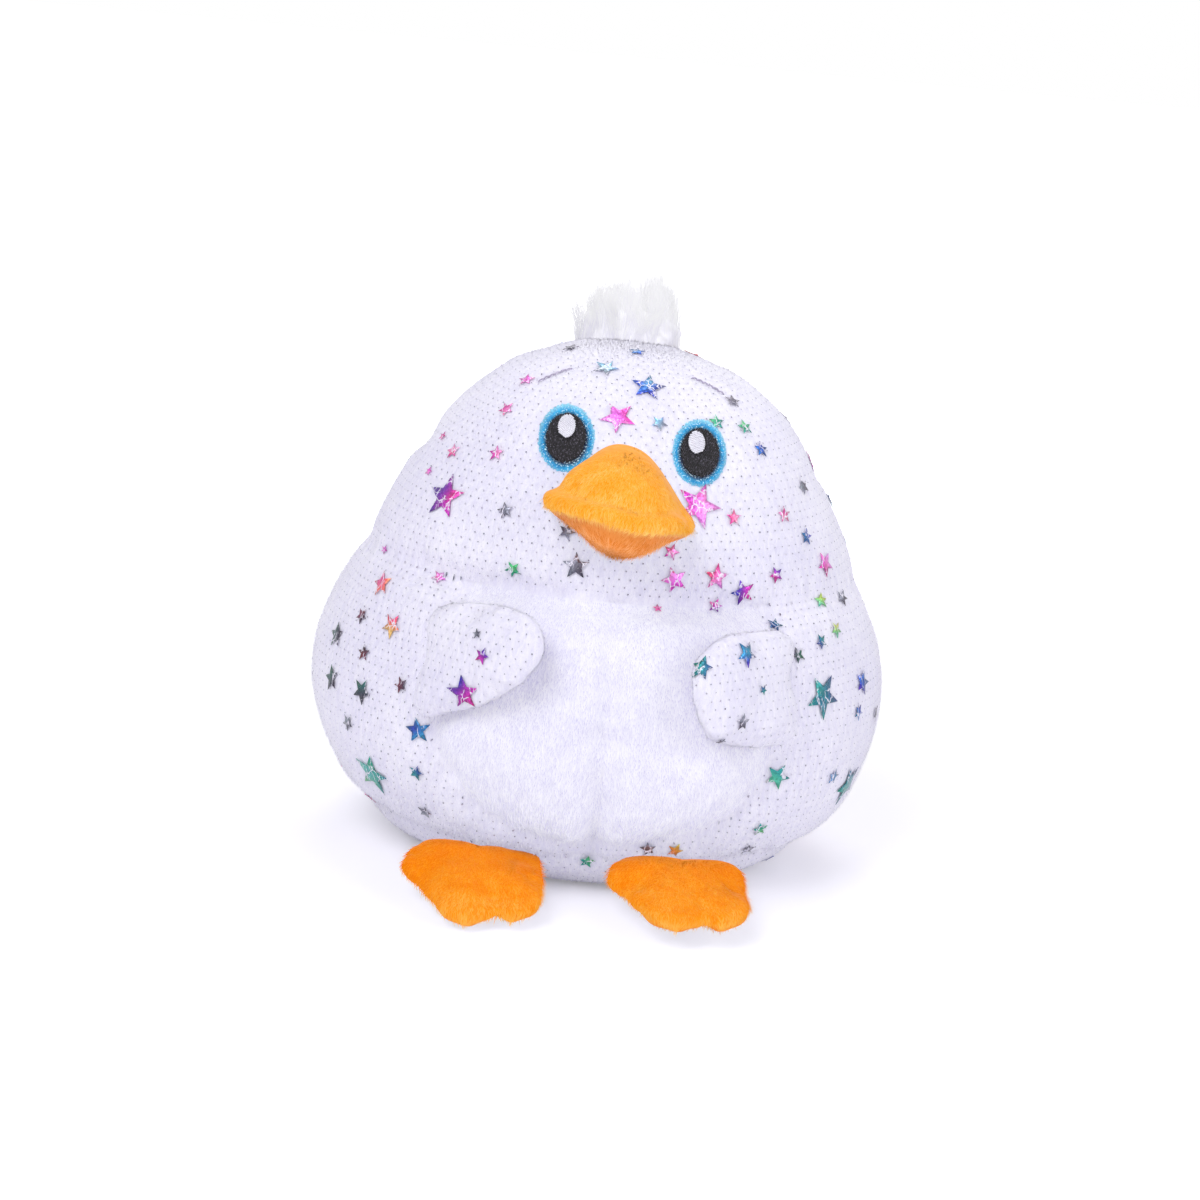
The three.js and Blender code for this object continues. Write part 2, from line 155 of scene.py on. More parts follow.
def show(name, mesh, finish=None):
    obj = bpy.data.objects.new(name, mesh)
    scene.collection.objects.link(obj)
    if finish:
        mesh.materials.append(finish)
    return obj


def chosenPart(chosen):  # the points that some faces use, and the faces on those points
    used = sorted({i for f in chosen for i in f})
    index = {old: new for new, old in enumerate(used)}
    return np.array(used), [tuple(index[i] for i in f) for f in chosen]


# Gives an open cloth its inner side and its edges, and keeps its shading whole across a seam.
def clothMesh(name, points, normals, faces, thickness):
    count = len(points)
    edges = {(a, b) for f in faces for a, b in zip(f, f[1:] + f[:1])}
    rim = [(b, a, a + count, b + count) for a, b in sorted(edges) if (b, a) not in edges]
    inner = [tuple(i + count for i in reversed(f)) for f in faces]
    both = np.concatenate([points, points - normals * thickness])
    return skinMesh(name, both, faces + inner + rim, np.concatenate([normals, -normals]))


def treeOf(points, faces):
    return BVHTree.FromPolygons([Vector(p) for p in points], [list(f) for f in faces])


def centres(points, faces):
    return np.array([points[list(f)].mean(0) for f in faces])


# Parts the faces of a mesh along the line where a field is zero, and can take away the side below zero.
def cutAlong(points, faces, field, labels=None, drop=False):
    bm = bmesh.new()
    verts = [bm.verts.new(p) for p in points]
    mark = bm.faces.layers.int.new("mark")
    for i, f in enumerate(faces):
        face = bm.faces.new([verts[k] for k in f])
        face[mark] = labels[i] if labels is not None else 0
    value = dict(zip(verts, field(np.asarray(points)).tolist()))
    crossing = []
    for edge in bm.edges:
        a, b = edge.verts
        if value[a] * value[b] < 0:
            share = value[a] / (value[a] - value[b])
            near = a if share < 0.2 else b if share > 0.8 else None
            if near is None:
                crossing.append(edge)
            else:  # moved onto the line, so no sliver is left beside it
                near.co, value[near] = a.co.lerp(b.co, share), 0.0
    for edge in crossing:
        a, b = edge.verts
        if value[a] * value[b] < 0:
            _, fresh = bmesh.utils.edge_split(edge, a, value[a] / (value[a] - value[b]))
            value[fresh] = 0.0
    for face in list(bm.faces):
        on = [v for v in face.verts if value[v] == 0.0]
        sides = {value[v] > 0 for v in face.verts if value[v] != 0.0}
        if len(on) == 2 and len(sides) == 2:
            bmesh.utils.face_split(face, on[0], on[1])
    if drop:
        inside = [f for f in bm.faces if sum(value[v] for v in f.verts) < 0]
        bmesh.ops.delete(bm, geom=inside, context="FACES")
    bm.verts.index_update()
    newPoints = np.array([v.co for v in bm.verts])
    newFaces = [tuple(v.index for v in f.verts) for f in bm.faces]
    newLabels = [f[mark] for f in bm.faces]
    bm.free()
    return newPoints, newFaces, newLabels


# Stuffing: the filling presses a closed cover out between its seams, in a cloth simulation

stuffing = {
    "enlarge": 10.0,  # worked on at ten times the size, where the simulation is steady
    "frames": 20,
    "quality": 6,
    "slack": 0.04,  # the cloth is cut this much larger than its place
    "soften": 6,  # rounds of smoothing when the coarse result is carried to a finer mesh
}


def pressedOut(points, faces, held, pressure, cap):  # how far each point moves, held points not at all
    enlarge, frames = stuffing["enlarge"], stuffing["frames"]
    obj = show("cover", skinMesh("cover", points * enlarge, faces))
    obj.vertex_groups.new(name="seams").add(np.flatnonzero(held).tolist(), 1.0, "REPLACE")
    cloth = obj.modifiers.new("cloth", "CLOTH")
    cloth.point_cache.frame_end = frames
    settings = cloth.settings
    settings.quality = stuffing["quality"]
    settings.vertex_group_mass = "seams"
    settings.shrink_min = -stuffing["slack"]
    settings.use_pressure = True
    settings.uniform_pressure_force = pressure
    settings.effector_weights.gravity = 0
    for step in range(1, frames + 1):
        scene.frame_set(step)
    depsgraph = bpy.context.evaluated_depsgraph_get()
    move = vectorsOf(obj.evaluated_get(depsgraph).data.vertices) / (mm * enlarge) - points
    bpy.data.objects.remove(obj)
    scene.frame_set(1)
    far = np.linalg.norm(move, axis=1, keepdims=True)
    move = move * np.minimum(1, cap / np.maximum(far, 1e-9))
    out = np.sum(move * normalsOf(points, faces), 1)
    print("cover stuffed, out by", np.round(np.percentile(out, (5, 50, 95)), 2))
    return move


def carried(move, points, faces, finePoints, fineFaces):  # the same movement on a finer mesh
    tree = treeOf(points, faces)
    result = np.zeros_like(finePoints)
    for i, p in enumerate(finePoints):
        spot, _, index, _ = tree.find_nearest(Vector(p))
        corners = list(faces[index])
        result[i] = np.array(poly_3d_calc([Vector(points[k]) for k in corners], spot)) @ move[corners]
    pairs = np.array([(a, b) for f in fineFaces for a, b in zip(f, f[1:] + f[:1])])
    share = np.bincount(pairs[:, 0], minlength=len(finePoints))[:, None] + 1.0
    for _ in range(stuffing["soften"]):
        total = result.copy()
        np.add.at(total, pairs[:, 0], result[pairs[:, 1]])
        result = total / share
    return result


# Node trees

def put(tree, kind, inputs=None, **options):
    node = tree.nodes.new(kind)
    for key, value in options.items():
        setattr(node, key, value)
    for key, value in (inputs or {}).items():
        if isinstance(value, bpy.types.NodeSocket):
            tree.links.new(value, node.inputs[key])
        else:
            node.inputs[key].default_value = value
    return node


def sockets(tree, **kinds):
    for name, kind in kinds.items():
        tree.interface.new_socket(name, in_out="INPUT", socket_type="NodeSocket" + kind)


def geometryTree(name, **kinds):
    tree = bpy.data.node_groups.new(name, "GeometryNodeTree")
    sockets(tree, Geometry="Geometry", **kinds)
    tree.interface.new_socket("Geometry", in_out="OUTPUT", socket_type="NodeSocketGeometry")
    return tree, put(tree, "NodeGroupInput").outputs


def endTree(tree, geometry, finish):
    real = put(tree, "GeometryNodeRealizeInstances", {"Geometry": geometry})
    painted = put(tree, "GeometryNodeSetMaterial", {"Geometry": real.outputs[0], "Material": finish})
    put(tree, "NodeGroupOutput", {"Geometry": painted.outputs[0]})


def named(tree, name, kind):
    return put(tree, "GeometryNodeInputNamedAttribute", {"Name": name}, data_type=kind).outputs[0]


def grown(name, source, tree, **values):  # the plain mesh that a tree makes on a source object
    modifier = source.modifiers.new(tree.name, "NODES")
    modifier.node_group = tree
    for item in tree.interface.items_tree:
        if item.in_out == "INPUT" and item.name in values:
            modifier[item.identifier] = values[item.name]
    bpy.context.view_layer.update()
    depsgraph = bpy.context.evaluated_depsgraph_get()
    mesh = bpy.data.meshes.new_from_object(
        source.evaluated_get(depsgraph), preserve_all_data_layers=True, depsgraph=depsgraph
    )
    source.modifiers.remove(modifier)
    mesh.name = name
    return mesh


def maths(tree, operation, *values, **options):
    return put(tree, "ShaderNodeMath", dict(enumerate(values)), operation=operation, **options).outputs[0]


def vectors(tree, operation, first, second):
    by = "Scale" if operation == "SCALE" else 1
    return put(tree, "ShaderNodeVectorMath", {0: first, by: second}, operation=operation).outputs[0]


def pileTree():  # short fibres over a cloth, combed along its nap
    tree, given = geometryTree(
        "pile", Fibre="Object", Density="Float", Length="Float", Width="Float",
        Lean="Float", Jitter="Float", Front="Vector", Seed="Int", Material="Material",
    )
    density = maths(tree, "MULTIPLY", given["Density"], named(tree, "cover", "FLOAT"))
    points = put(
        tree, "GeometryNodeDistributePointsOnFaces",
        {"Mesh": given["Geometry"], "Density": density, "Seed": given["Seed"]},
    ).outputs
    combed = vectors(tree, "SCALE", named(tree, "nap", "FLOAT_VECTOR"), given["Lean"])
    loose = put(
        tree, "FunctionNodeRandomValue", {0: (-1, -1, -1), 1: (1, 1, 1), 8: given["Seed"]},
        data_type="FLOAT_VECTOR",
    )
    strayed = vectors(tree, "SCALE", loose.outputs[0], given["Jitter"])
    aim = vectors(tree, "ADD", vectors(tree, "ADD", points["Normal"], combed), strayed)
    turned = put(tree, "FunctionNodeAlignRotationToVector", {"Vector": aim}, axis="Z")
    outward = vectors(tree, "ADD", points["Normal"], given["Front"])
    turned = put(
        tree, "FunctionNodeAlignRotationToVector", {"Rotation": turned.outputs[0], "Vector": outward},
        axis="X", pivot_axis="Z",
    )  # the flat of each fibre faces out
    uneven = put(tree, "FunctionNodeRandomValue", {2: 0.6, 3: 1.15}, data_type="FLOAT").outputs[1]
    long = maths(tree, "MULTIPLY", given["Length"], uneven)
    size = put(tree, "ShaderNodeCombineXYZ", {0: given["Width"], 1: given["Width"], 2: long})
    fibre = put(tree, "GeometryNodeObjectInfo", {"Object": given["Fibre"]})
    placed = put(
        tree, "GeometryNodeInstanceOnPoints",
        {
            "Points": points["Points"], "Instance": fibre.outputs["Geometry"],
            "Rotation": turned.outputs[0], "Scale": size.outputs[0],
        },
    )
    shade = put(tree, "FunctionNodeRandomValue", {2: 0.0, 3: 1.0}, data_type="FLOAT").outputs[1]
    for name, kind, value in (("shade", "FLOAT", shade), ("facing", "FLOAT_VECTOR", points["Normal"])):
        placed = put(
            tree, "GeometryNodeStoreNamedAttribute",
            {"Geometry": placed.outputs[0], "Name": name, "Value": value}, data_type=kind, domain="INSTANCE",
        )
    endTree(tree, placed.outputs[0], given["Material"])
    return tree


def settingTree():  # one shape on every point, by the point's own aim, turn and size
    tree, given = geometryTree("setOnPoints", Shape="Object", Material="Material")
    turned = put(
        tree, "FunctionNodeAlignRotationToVector", {"Vector": named(tree, "aim", "FLOAT_VECTOR")}, axis="Z"
    )
    spin = put(
        tree, "FunctionNodeAxisAngleToRotation", {"Axis": (0, 0, 1), "Angle": named(tree, "turn", "FLOAT")}
    )
    both = put(
        tree, "FunctionNodeRotateRotation",
        {"Rotation": turned.outputs[0], "Rotate By": spin.outputs[0]}, rotation_space="LOCAL",
    )
    shape = put(tree, "GeometryNodeObjectInfo", {"Object": given["Shape"]})
    placed = put(
        tree, "GeometryNodeInstanceOnPoints",
        {
            "Points": given["Geometry"], "Instance": shape.outputs["Geometry"],
            "Rotation": both.outputs[0], "Scale": named(tree, "grow", "FLOAT_VECTOR"),
        },
    )
    endTree(tree, placed.outputs[0], given["Material"])
    return tree


def threadTree():  # a round thread along every loose edge
    tree, given = geometryTree("threads", Radius="Float", Sides="Int", Material="Material")
    line = put(tree, "GeometryNodeMeshToCurve", {"Mesh": given["Geometry"]})
    ring = put(
        tree, "GeometryNodeCurvePrimitiveCircle", {"Resolution": given["Sides"], "Radius": given["Radius"]}
    )
    tube = put(
        tree, "GeometryNodeCurveToMesh",
        {"Curve": line.outputs[0], "Profile Curve": ring.outputs["Curve"], "Fill Caps": True},
    )
    endTree(tree, tube.outputs[0], given["Material"])
    return tree


pile, setOnPoints, threads = pileTree(), settingTree(), threadTree()


# Finishes

def tint(code):  # a colour as it is seen, as the shader's own light values
    parts = [int(code[i:i + 2], 16) / 255 for i in (1, 3, 5)]
    return tuple(c / 12.92 if c < 0.04045 else ((c + 0.055) / 1.055) ** 2.4 for c in parts) + (1.0,)


def ownSpace(tree):
    return put(tree, "ShaderNodeTexCoord").outputs["Object"]


def attribute(tree, name, output="Fac"):
    return put(tree, "ShaderNodeAttribute", attribute_name=name).outputs[output]


def noise(tree, spot, scale, detail=2.0, roughness=0.5):
    inputs = {"Vector": spot, "Scale": scale, "Detail": detail, "Roughness": roughness}
    return put(tree, "ShaderNodeTexNoise", inputs).outputs[0]


def mapped(tree, value, *limits, **options):  # lowest and highest given, then lowest and highest made
    inputs = {"Value": value, **dict(enumerate(limits, 1))}
    return put(tree, "ShaderNodeMapRange", inputs, **options).outputs[0]


def blend(tree, share, first, second, **options):
    inputs = {0: share, 6: first, 7: second}
    return put(tree, "ShaderNodeMix", inputs, data_type="RGBA", **options).outputs[2]


def join(tree, source, target):
    tree.links.new(source, target)


def bumps(tree, shader, height, strength, distance):
    inputs = {"Height": height, "Strength": strength, "Distance": distance}
    join(tree, put(tree, "ShaderNodeBump", inputs).outputs[0], shader.inputs["Normal"])


def grainGroup():  # the uneven shade and the bumps of brushed cloth
    tree = bpy.data.node_groups.new("brushedGrain", "ShaderNodeTree")
    sockets(tree, Stretch="Vector", Grain="Float", Patches="Float")
    for name in ("Shade", "Height"):
        tree.interface.new_socket(name, in_out="OUTPUT", socket_type="NodeSocketFloat")
    given = put(tree, "NodeGroupInput").outputs
    spot = ownSpace(tree)
    combed = vectors(tree, "MULTIPLY", spot, given["Stretch"])
    fine = noise(tree, combed, given["Grain"], detail=3.0, roughness=0.6)
    broad = noise(tree, spot, given["Patches"])
    mixed = put(tree, "ShaderNodeMix", {0: 0.4, 2: fine, 3: broad}, data_type="FLOAT").outputs[0]
    put(tree, "NodeGroupOutput", {"Shade": mapped(tree, mixed, 0.32, 0.68), "Height": fine})
    return tree


brushedGrain = grainGroup()


def brushed(tree, stretch, grain, patches):
    inputs = {"Stretch": stretch, "Grain": grain, "Patches": patches}
    return put(tree, "ShaderNodeGroup", inputs, node_tree=brushedGrain).outputs


def newFinish(name, roughness, **constants):
    finish = bpy.data.materials.new(name)
    finish.use_nodes = True
    tree = finish.node_tree
    tree.nodes.clear()
    shader = put(tree, "ShaderNodeBsdfPrincipled", {"Roughness": roughness, **constants})
    put(tree, "ShaderNodeOutputMaterial", {"Surface": shader.outputs[0]})
    return finish, tree, shader


def ramp(tree, value, *stops):
    node = put(tree, "ShaderNodeValToRGB", {0: value})
    elements = node.color_ramp.elements
    while len(elements) < len(stops):
        elements.new(0.5)
    for element, (place, colour) in zip(elements, stops):
        element.position, element.color = place, colour
    return node.outputs[0]


def clothFinish(name, deep, light, sheen, grain=900.0):
    finish, tree, shader = newFinish(name, roughness=0.85, **{"Sheen Weight": sheen, "Specular IOR Level": 0.25})
    cloth = brushed(tree, stretch=(1, 1, 0.25), grain=grain, patches=45.0)
    colour = ramp(tree, cloth["Shade"], (0, tint(deep)), (1, tint(light)))
    join(tree, colour, shader.inputs["Base Color"])
    bumps(tree, shader, cloth["Height"], strength=0.35, distance=0.0006)
    return finish


# Colours each fibre darker at its root and paler at its tip, painted shade between fibres that cast no shadows, and
# gives both sides of a blade the light of the cloth below it.
def fibreFinish(name, root, body, tip, sheen=0.2, glow=(1, 1, 1)):
    finish, tree, shader = newFinish(
        name, roughness=0.7, **{"Sheen Weight": sheen, "Sheen Tint": (*glow, 1), "Specular IOR Level": 0.0}
    )
    own = maths(tree, "MULTIPLY_ADD", attribute(tree, "shade"), 0.9, -1.05)
    shift = maths(tree, "MULTIPLY_ADD", noise(tree, ownSpace(tree), scale=240.0), 1.2, own)
    along = maths(tree, "ADD", attribute(tree, "tip"), shift, use_clamp=True)
    colour = ramp(tree, along, (0, tint(root)), (0.5, tint(body)), (1, tint(tip)))
    join(tree, colour, shader.inputs["Base Color"])
    shape = put(tree, "ShaderNodeNewGeometry").outputs
    turned = maths(tree, "MULTIPLY_ADD", shape["Backfacing"], -2.0, 1.0)
    join(tree, vectors(tree, "SCALE", shape["Normal"], turned), shader.inputs["Normal"])
    return finish


def threadFinish(name, deep, light, roughness=0.42, sparkle=None, within=None):
    finish, tree, shader = newFinish(name, roughness, **{"Sheen Weight": 0.15, "Specular IOR Level": 0.4})
    grain = brushed(tree, stretch=(1, 1, 1), grain=1500.0, patches=260.0)
    colour = ramp(tree, grain["Shade"], (0, tint(deep)), (1, tint(light)))
    if within:  # a ring is dark at its inner edge and pale at its outer one
        share = attribute(tree, "share")
        edge = ramp(tree, share, (0.08, tint(within)), (0.55, (1, 1, 1, 1)))
        colour = blend(tree, 1.0, colour, edge, blend_type="MULTIPLY")
        colour = blend(tree, mapped(tree, share, 0.62, 1.05, 0.0, 0.6), colour, tint("#A2E6F4"))
    if sparkle:  # points where the thread catches the light
        speck = noise(tree, ownSpace(tree), scale=2600.0, detail=1.0)
        colour = blend(tree, mapped(tree, speck, 0.57, 0.7, 0.0, 0.85), colour, tint(sparkle))
    join(tree, colour, shader.inputs["Base Color"])
    bumps(tree, shader, grain["Height"], strength=0.4, distance=0.0002)
    return finish


def foilFinish(name):  # thin coloured foil, cracked where the pile below it moves
    finish, tree, shader = newFinish(name, roughness=0.3, **{"Coat Weight": 0.3, "Coat Roughness": 0.15})
    spot = ownSpace(tree)
    speck = put(tree, "ShaderNodeTexVoronoi", {"Vector": spot, "Scale": 1500.0}).outputs
    shifted = {
        "Color": attribute(tree, "foil", "Color"),
        "Hue": mapped(tree, noise(tree, spot, scale=170.0, detail=1.0), 0.3, 0.7, 0.44, 0.56),
        "Value": mapped(tree, speck["Color"], 0.0, 1.0, 0.7, 1.45),
    }
    glitter = put(tree, "ShaderNodeHueSaturation", shifted).outputs[0]
    warp = put(tree, "ShaderNodeTexNoise", {"Vector": spot, "Scale": 420.0, "Detail": 2.0}).outputs["Color"]
    slant = vectors(tree, "MULTIPLY", spot, (1.0, 1.0, 0.45))
    slant = vectors(tree, "ADD", slant, vectors(tree, "SCALE", warp, 0.0022))
    crack = put(tree, "ShaderNodeTexVoronoi", {"Vector": slant, "Scale": 640.0}, feature="DISTANCE_TO_EDGE")
    cracked = mapped(tree, crack.outputs["Distance"], 0.02, 0.08)
    whole = mapped(tree, noise(tree, spot, scale=330.0), 0.47, 0.55)
    kept = maths(tree, "MAXIMUM", cracked, whole)
    join(tree, blend(tree, kept, tint("#E9E4F2"), glitter), shader.inputs["Base Color"])
    join(tree, maths(tree, "MULTIPLY", kept, 0.6), shader.inputs["Metallic"])
    bumps(tree, shader, speck["Distance"], strength=0.5, distance=0.0003)
    return finish


finishes = {finish.name: finish for finish in (
    clothFinish("starCloth", "#DDDAEE", "#F4F2FA", sheen=0.3),
    clothFinish("bellyCloth", "#E2E0F0", "#F6F5FB", sheen=0.35),
    clothFinish("beakCloth", "#F39A1C", "#FFB23C", sheen=0.1, grain=700.0),
    # painted shade: a deeper orange copy of the beak's cloth for its shaded underside
    clothFinish("chinCloth", "#EC8634", "#F89C4C", sheen=0.1, grain=700.0),
    clothFinish("footCloth", "#FA8200", "#FF9A10", sheen=0.05, grain=700.0),
    # the first colour of each pile and of the tuft is painted shade at the roots of the fibres
    fibreFinish("starPile", "#DAD6EC", "#F1EFF8", "#FAF9FD"),
    fibreFinish("bellyPile", "#D3CFE8", "#EFEDF7", "#FCFBFE"),
    fibreFinish("beakPile", "#F6940E", "#FFB43C", "#FFCE78", sheen=0.25, glow=(1, 0.5, 0.15)),
    # painted shade: a deeper orange copy of the beak's pile for its shaded underside
    fibreFinish("chinPile", "#E47A2A", "#F6964A", "#FFB87C", sheen=0.25, glow=(1, 0.5, 0.15)),
    fibreFinish("footPile", "#F47400", "#FF980C", "#FFBA54", sheen=0.25, glow=(1, 0.45, 0.1)),
    fibreFinish("tuftFur", "#EEECF7", "#F9F8FC", "#FEFEFE"),
    threadFinish("blueThread", "#0680C0", "#2CBAEC", 0.35, sparkle="#D4F6FF", within="#123C58"),
    threadFinish("blackThread", "#08070B", "#1A1720", 0.7, sparkle="#6A6674"),
    threadFinish("whiteThread", "#DEDCE8", "#F2F1F8"),
    threadFinish("lilacThread", "#958CA6", "#C6BDD4", 0.6),
    foilFinish("starFoil"),
)}
print("finishes:", len(finishes))


# Body cover: one stuffed pear, parted into panels along its seams

bodyShape = {
    "height": 128.0,
    "width": 141.0,
    "depth": 120.0,
    "widestHeight": 42.0,
    "seat": 76.0,
    "seatFlare": 18.0,
    "seatRise": 3.0,
    "flank": 20.0,
    "shoulder": 15.0,
    "neck": 119.0,
    "neckHeight": 75.5,
    "shoulderSlope": 29.0,
    "shoulderRun": 10.0,
    "cheekSlope": 21.0,
    "cheekRun": 31.0,
    "crown": 36.0,
    "lean": 5.0,  # of the head, to the front
    "grid": 88,  # squares along each side of the six patches
    "coarseGrid": 30,
    "pressure": 3.0,
    "cap": 1.6,
    "shrink": 0.9,  # the cover is cut smaller, because the filling swells it
    "shrinkRise": (4.0, 8.0),  # height where that starts, and the height it grows over
    "seatFlat": 4.0,  # the cover flattens out below this height
    "offFloor": 0.2,
    "cloth": 1.2,
    "unevenness": ((0.42, 34, 62), (0.12, 12, 19)),  # height, shortest and longest wave
}
bellyShape = {
    "width": 81.0,
    "topWidth": 68.0,
    "bottom": 15.0,
    "widestHeight": 46.0,
    "shoulder": 12.0,
    "flank": 20.0,
    "round": 24.0,
    "swell": 2.2,  # of each half between its seams
    "swellReach": 10.0,
    "middleReach": 7.0,
    "middleHold": 0.8,  # share of the swell that the middle seam holds in
}
seams = {  # depth and width of the furrow that each seam draws in
    "neck": (1.5, 3.6),
    "bellyEdge": (1.0, 2.2),
    "bellyMiddle": (1.5, 2.0),
    "back": (1.0, 2.0),
    "crown": (0.9, 2.2),
    "base": (0.9, 2.4),
    "baseHeight": 10.0,
    "crownSetback": 8.0,
    "foldReach": 6.5,
    "foldHeight": 0.32,
    "foldPitch": 7.5,
    "neckPull": (-6.0, 42.0),  # middle and half width of the part where the neck seam holds the cloth
    "neckLoose": ((1, 0.85, 18.0, 22.0), (-1, 0.6, 40.0, 15.0)),  # where it pulls less: side, share, start, length
    "neckRadius": 58.0,  # roughly, for the folds along a seam
    "baseRadius": 50.0,
    "heldWithin": 0.3,
}
depthShare = bodyShape["depth"] / bodyShape["width"]
neckHeight = bodyShape["neckHeight"]


def profileCurve():  # radius and height from the middle of the seat to the crown
    b = bodyShape
    half, neck = b["width"] / 2, b["neck"] / 2
    down, up = math.radians(b["shoulderSlope"]), math.radians(b["cheekSlope"])
    shoulder = (neck + b["shoulderRun"] * math.sin(down), neckHeight - b["shoulderRun"] * math.cos(down))
    cheek = (neck - b["cheekRun"] * math.sin(up), neckHeight + b["cheekRun"] * math.cos(up))
    seat = (b["seat"] / 2, 0)
    widest = (half, b["widestHeight"])
    curves = [
        bezier((0, 0), (seat[0] / 3, 0), (seat[0] * 2 / 3, 0), seat, 40),
        bezier(seat, (seat[0] + b["seatFlare"], b["seatRise"]), (half, widest[1] - b["flank"]), widest, 80),
        bezier(widest, (half, widest[1] + b["shoulder"]), shoulder, (neck, neckHeight), 60),
        bezier((neck, neckHeight), cheek, (b["crown"], b["height"]), (0, b["height"]), 120),
    ]
    return np.concatenate([c[1:] if i else c for i, c in enumerate(curves)])


profile = profileCurve()
profileLength = lengthAlong(profile)
aboveSeat = profile[:, 1] > 0


def leanAt(z):
    rise = (np.asarray(z) - bodyShape["widestHeight"]) / (bodyShape["height"] - bodyShape["widestHeight"])
    return bodyShape["lean"] * smoothStep(rise)


def radiusAt(z):
    return np.interp(z, profile[aboveSeat, 1], profile[aboveSeat, 0])


def onBody(turn, along):  # turn 0 is the front, along runs up the profile
    radius = np.interp(along, profileLength, profile[:, 0])
    z = np.interp(along, profileLength, profile[:, 1])
    return np.stack([radius * np.sin(turn), -depthShare * radius * np.cos(turn) - leanAt(z), z], -1)


def frontAt(x, z):
    return np.array([x, -depthShare * math.sqrt(radiusAt(z) ** 2 - x * x) - float(leanAt(z)), z])


def outwardAt(x, z):
    across = frontAt(x + 0.5, z) - frontAt(x - 0.5, z)
    rise = frontAt(x, z + 0.5) - frontAt(x, z - 0.5)
    return unit(np.cross(across, rise))


def bellyCurve():  # the right half of the belly panel's edge, from its bottom to above the neck
    b = bellyShape
    half, mid = b["width"] / 2, b["widestHeight"]
    low = bezier((0, b["bottom"]), (b["round"], b["bottom"]), (half, mid - b["flank"]), (half, mid), 40)
    high = bezier(
        (half, mid), (half, mid + b["shoulder"]), (half, neckHeight - b["shoulder"]),
        (b["topWidth"] / 2, neckHeight), 30,
    )
    return np.concatenate([low, high[1:], [[b["topWidth"] / 2, bodyShape["height"] + 10]]])


bellyEdge = bellyCurve()


def bellyEdgeAt(z):
    return np.interp(z, bellyEdge[:, 1], bellyEdge[:, 0])


def bellyField(points):  # how far outside the belly's edge a point is, seen from the front
    spot = np.stack([np.abs(points[:, 0]), points[:, 2]], 1)
    near = np.full(len(spot), 1e9)
    for a, b in zip(bellyEdge[:-1], bellyEdge[1:]):
        way = b - a
        share = np.clip(((spot - a) @ way) / (way @ way), 0, 1)
        near = np.minimum(near, np.linalg.norm(spot - a - share[:, None] * way, axis=1))
    inside = (spot[:, 0] < bellyEdgeAt(spot[:, 1])) & (spot[:, 1] > bellyShape["bottom"])
    near[inside] *= -1
    near[points[:, 1] > -5] = 50.0  # the belly is only in front
    return near


def panelsAt(points):
    x, y, z = points.T
    side = np.where(x > 0, "left", "right")
    names = np.char.add("side_", side)
    names = np.where(bellyField(points) < 0, np.char.add("belly_", side), names)
    head = np.where(y < seams["crownSetback"], "face", np.char.add("head_back_", side))
    names = np.where(z > neckHeight, head, names)
    return np.where(z < seams["baseHeight"], "base", names)


def roundGrid(count):  # a ball of six square patches, so no pole gathers the points
    steps = np.tan(np.linspace(-1, 1, count + 1) * math.pi / 4)
    a, b = np.meshgrid(steps, steps, indexing="ij")
    one = np.ones_like(a)
    patches = [(a, b, one), (b, a, -one), (b, one, a), (a, -one, b), (one, a, b), (-one, b, a)]
    points = np.concatenate([np.stack(p, -1).reshape(-1, 3) for p in patches])
    index = np.arange((count + 1) ** 2).reshape(count + 1, count + 1)
    quads = np.stack([index[:-1, :-1], index[1:, :-1], index[1:, 1:], index[:-1, 1:]], -1).reshape(-1, 4)
    quads = np.concatenate([quads + k * (count + 1) ** 2 for k in range(6)])
    points, merged = np.unique(np.round(unit(points), 7), axis=0, return_inverse=True)
    return points, merged.reshape(-1)[quads]


def bodyGrid(count):
    ball, quads = roundGrid(count)
    turn = np.arctan2(ball[:, 0], -ball[:, 1])
    rise = np.arccos(np.clip(-ball[:, 2], -1, 1)) / math.pi
    points, faces = onBody(turn, rise * profileLength[-1]), [tuple(q) for q in quads.tolist()]
    cuts = [
        lambda p: p[:, 2] - neckHeight,
        lambda p: p[:, 2] - seams["baseHeight"],
        lambda p: p[:, 0],
        lambda p: p[:, 1] - seams["crownSetback"],
        bellyField,
    ]
    for field in cuts:
        points, faces, _ = cutAlong(points, faces, field)
    return points, faces


eyes = {
    "spots": {-1: (-14.8, 110.2), 1: (16.6, 109.4)},  # across and up, of the right and the left one
    "width": 12.6,
    "tallness": 14.0,
    "tilt": 21.0,  # tops towards the middle
    "ring": 1.8,
    "glint": (3.8, 4.8),
    "glintSpot": {-1: (-0.6, 2.1), 1: (-0.4, 2.2)},
    "dent": 0.7,
    "dentWidth": 8.5,
}
wings = {
    "rootDrop": 18.5,
    "rootWidth": 27.0,
    "rootRidge": 1.5,  # how far the side's cloth rises to meet a wing
    "ridgeReach": (8.0, 1.6),  # towards the side and towards the belly
    "ridgeEnds": (3.0, 5.0),  # how far past the root it runs, and the length of the change
    "tuckIn": 4.0,  # length of the root inside that ridge
    "rest": 0.35,  # how far off the belly a wing's inner cloth lies
    "rimRise": (0.8, 2.5),  # how fast its outer cloth rises from the rim, and over what length
    "rootRest": (0.5, 4.0),  # along the wing, where that starts and the length it grows over
    "outerSwell": 3.8,
    "innerSwell": 2.2,
    "open": 13.0,
    "lift": 0.6,
    "pinch": 0.8,
    "pressure": 2.0,
    "cap": 0.8,
    "folds": (0.3, 2.0, 3.0, 6.0),  # height, distance from the rim, reach and pitch
    "foldRadius": 14.0,
    "unevenness": (0.3, 9, 20),
    "left": (30.0, 2.0, 14.0),  # length, rise of the tip, radius of the tip
    "right": (31.0, 9.0, 9.0),
    "points": 96,
    "rings": 20,
}
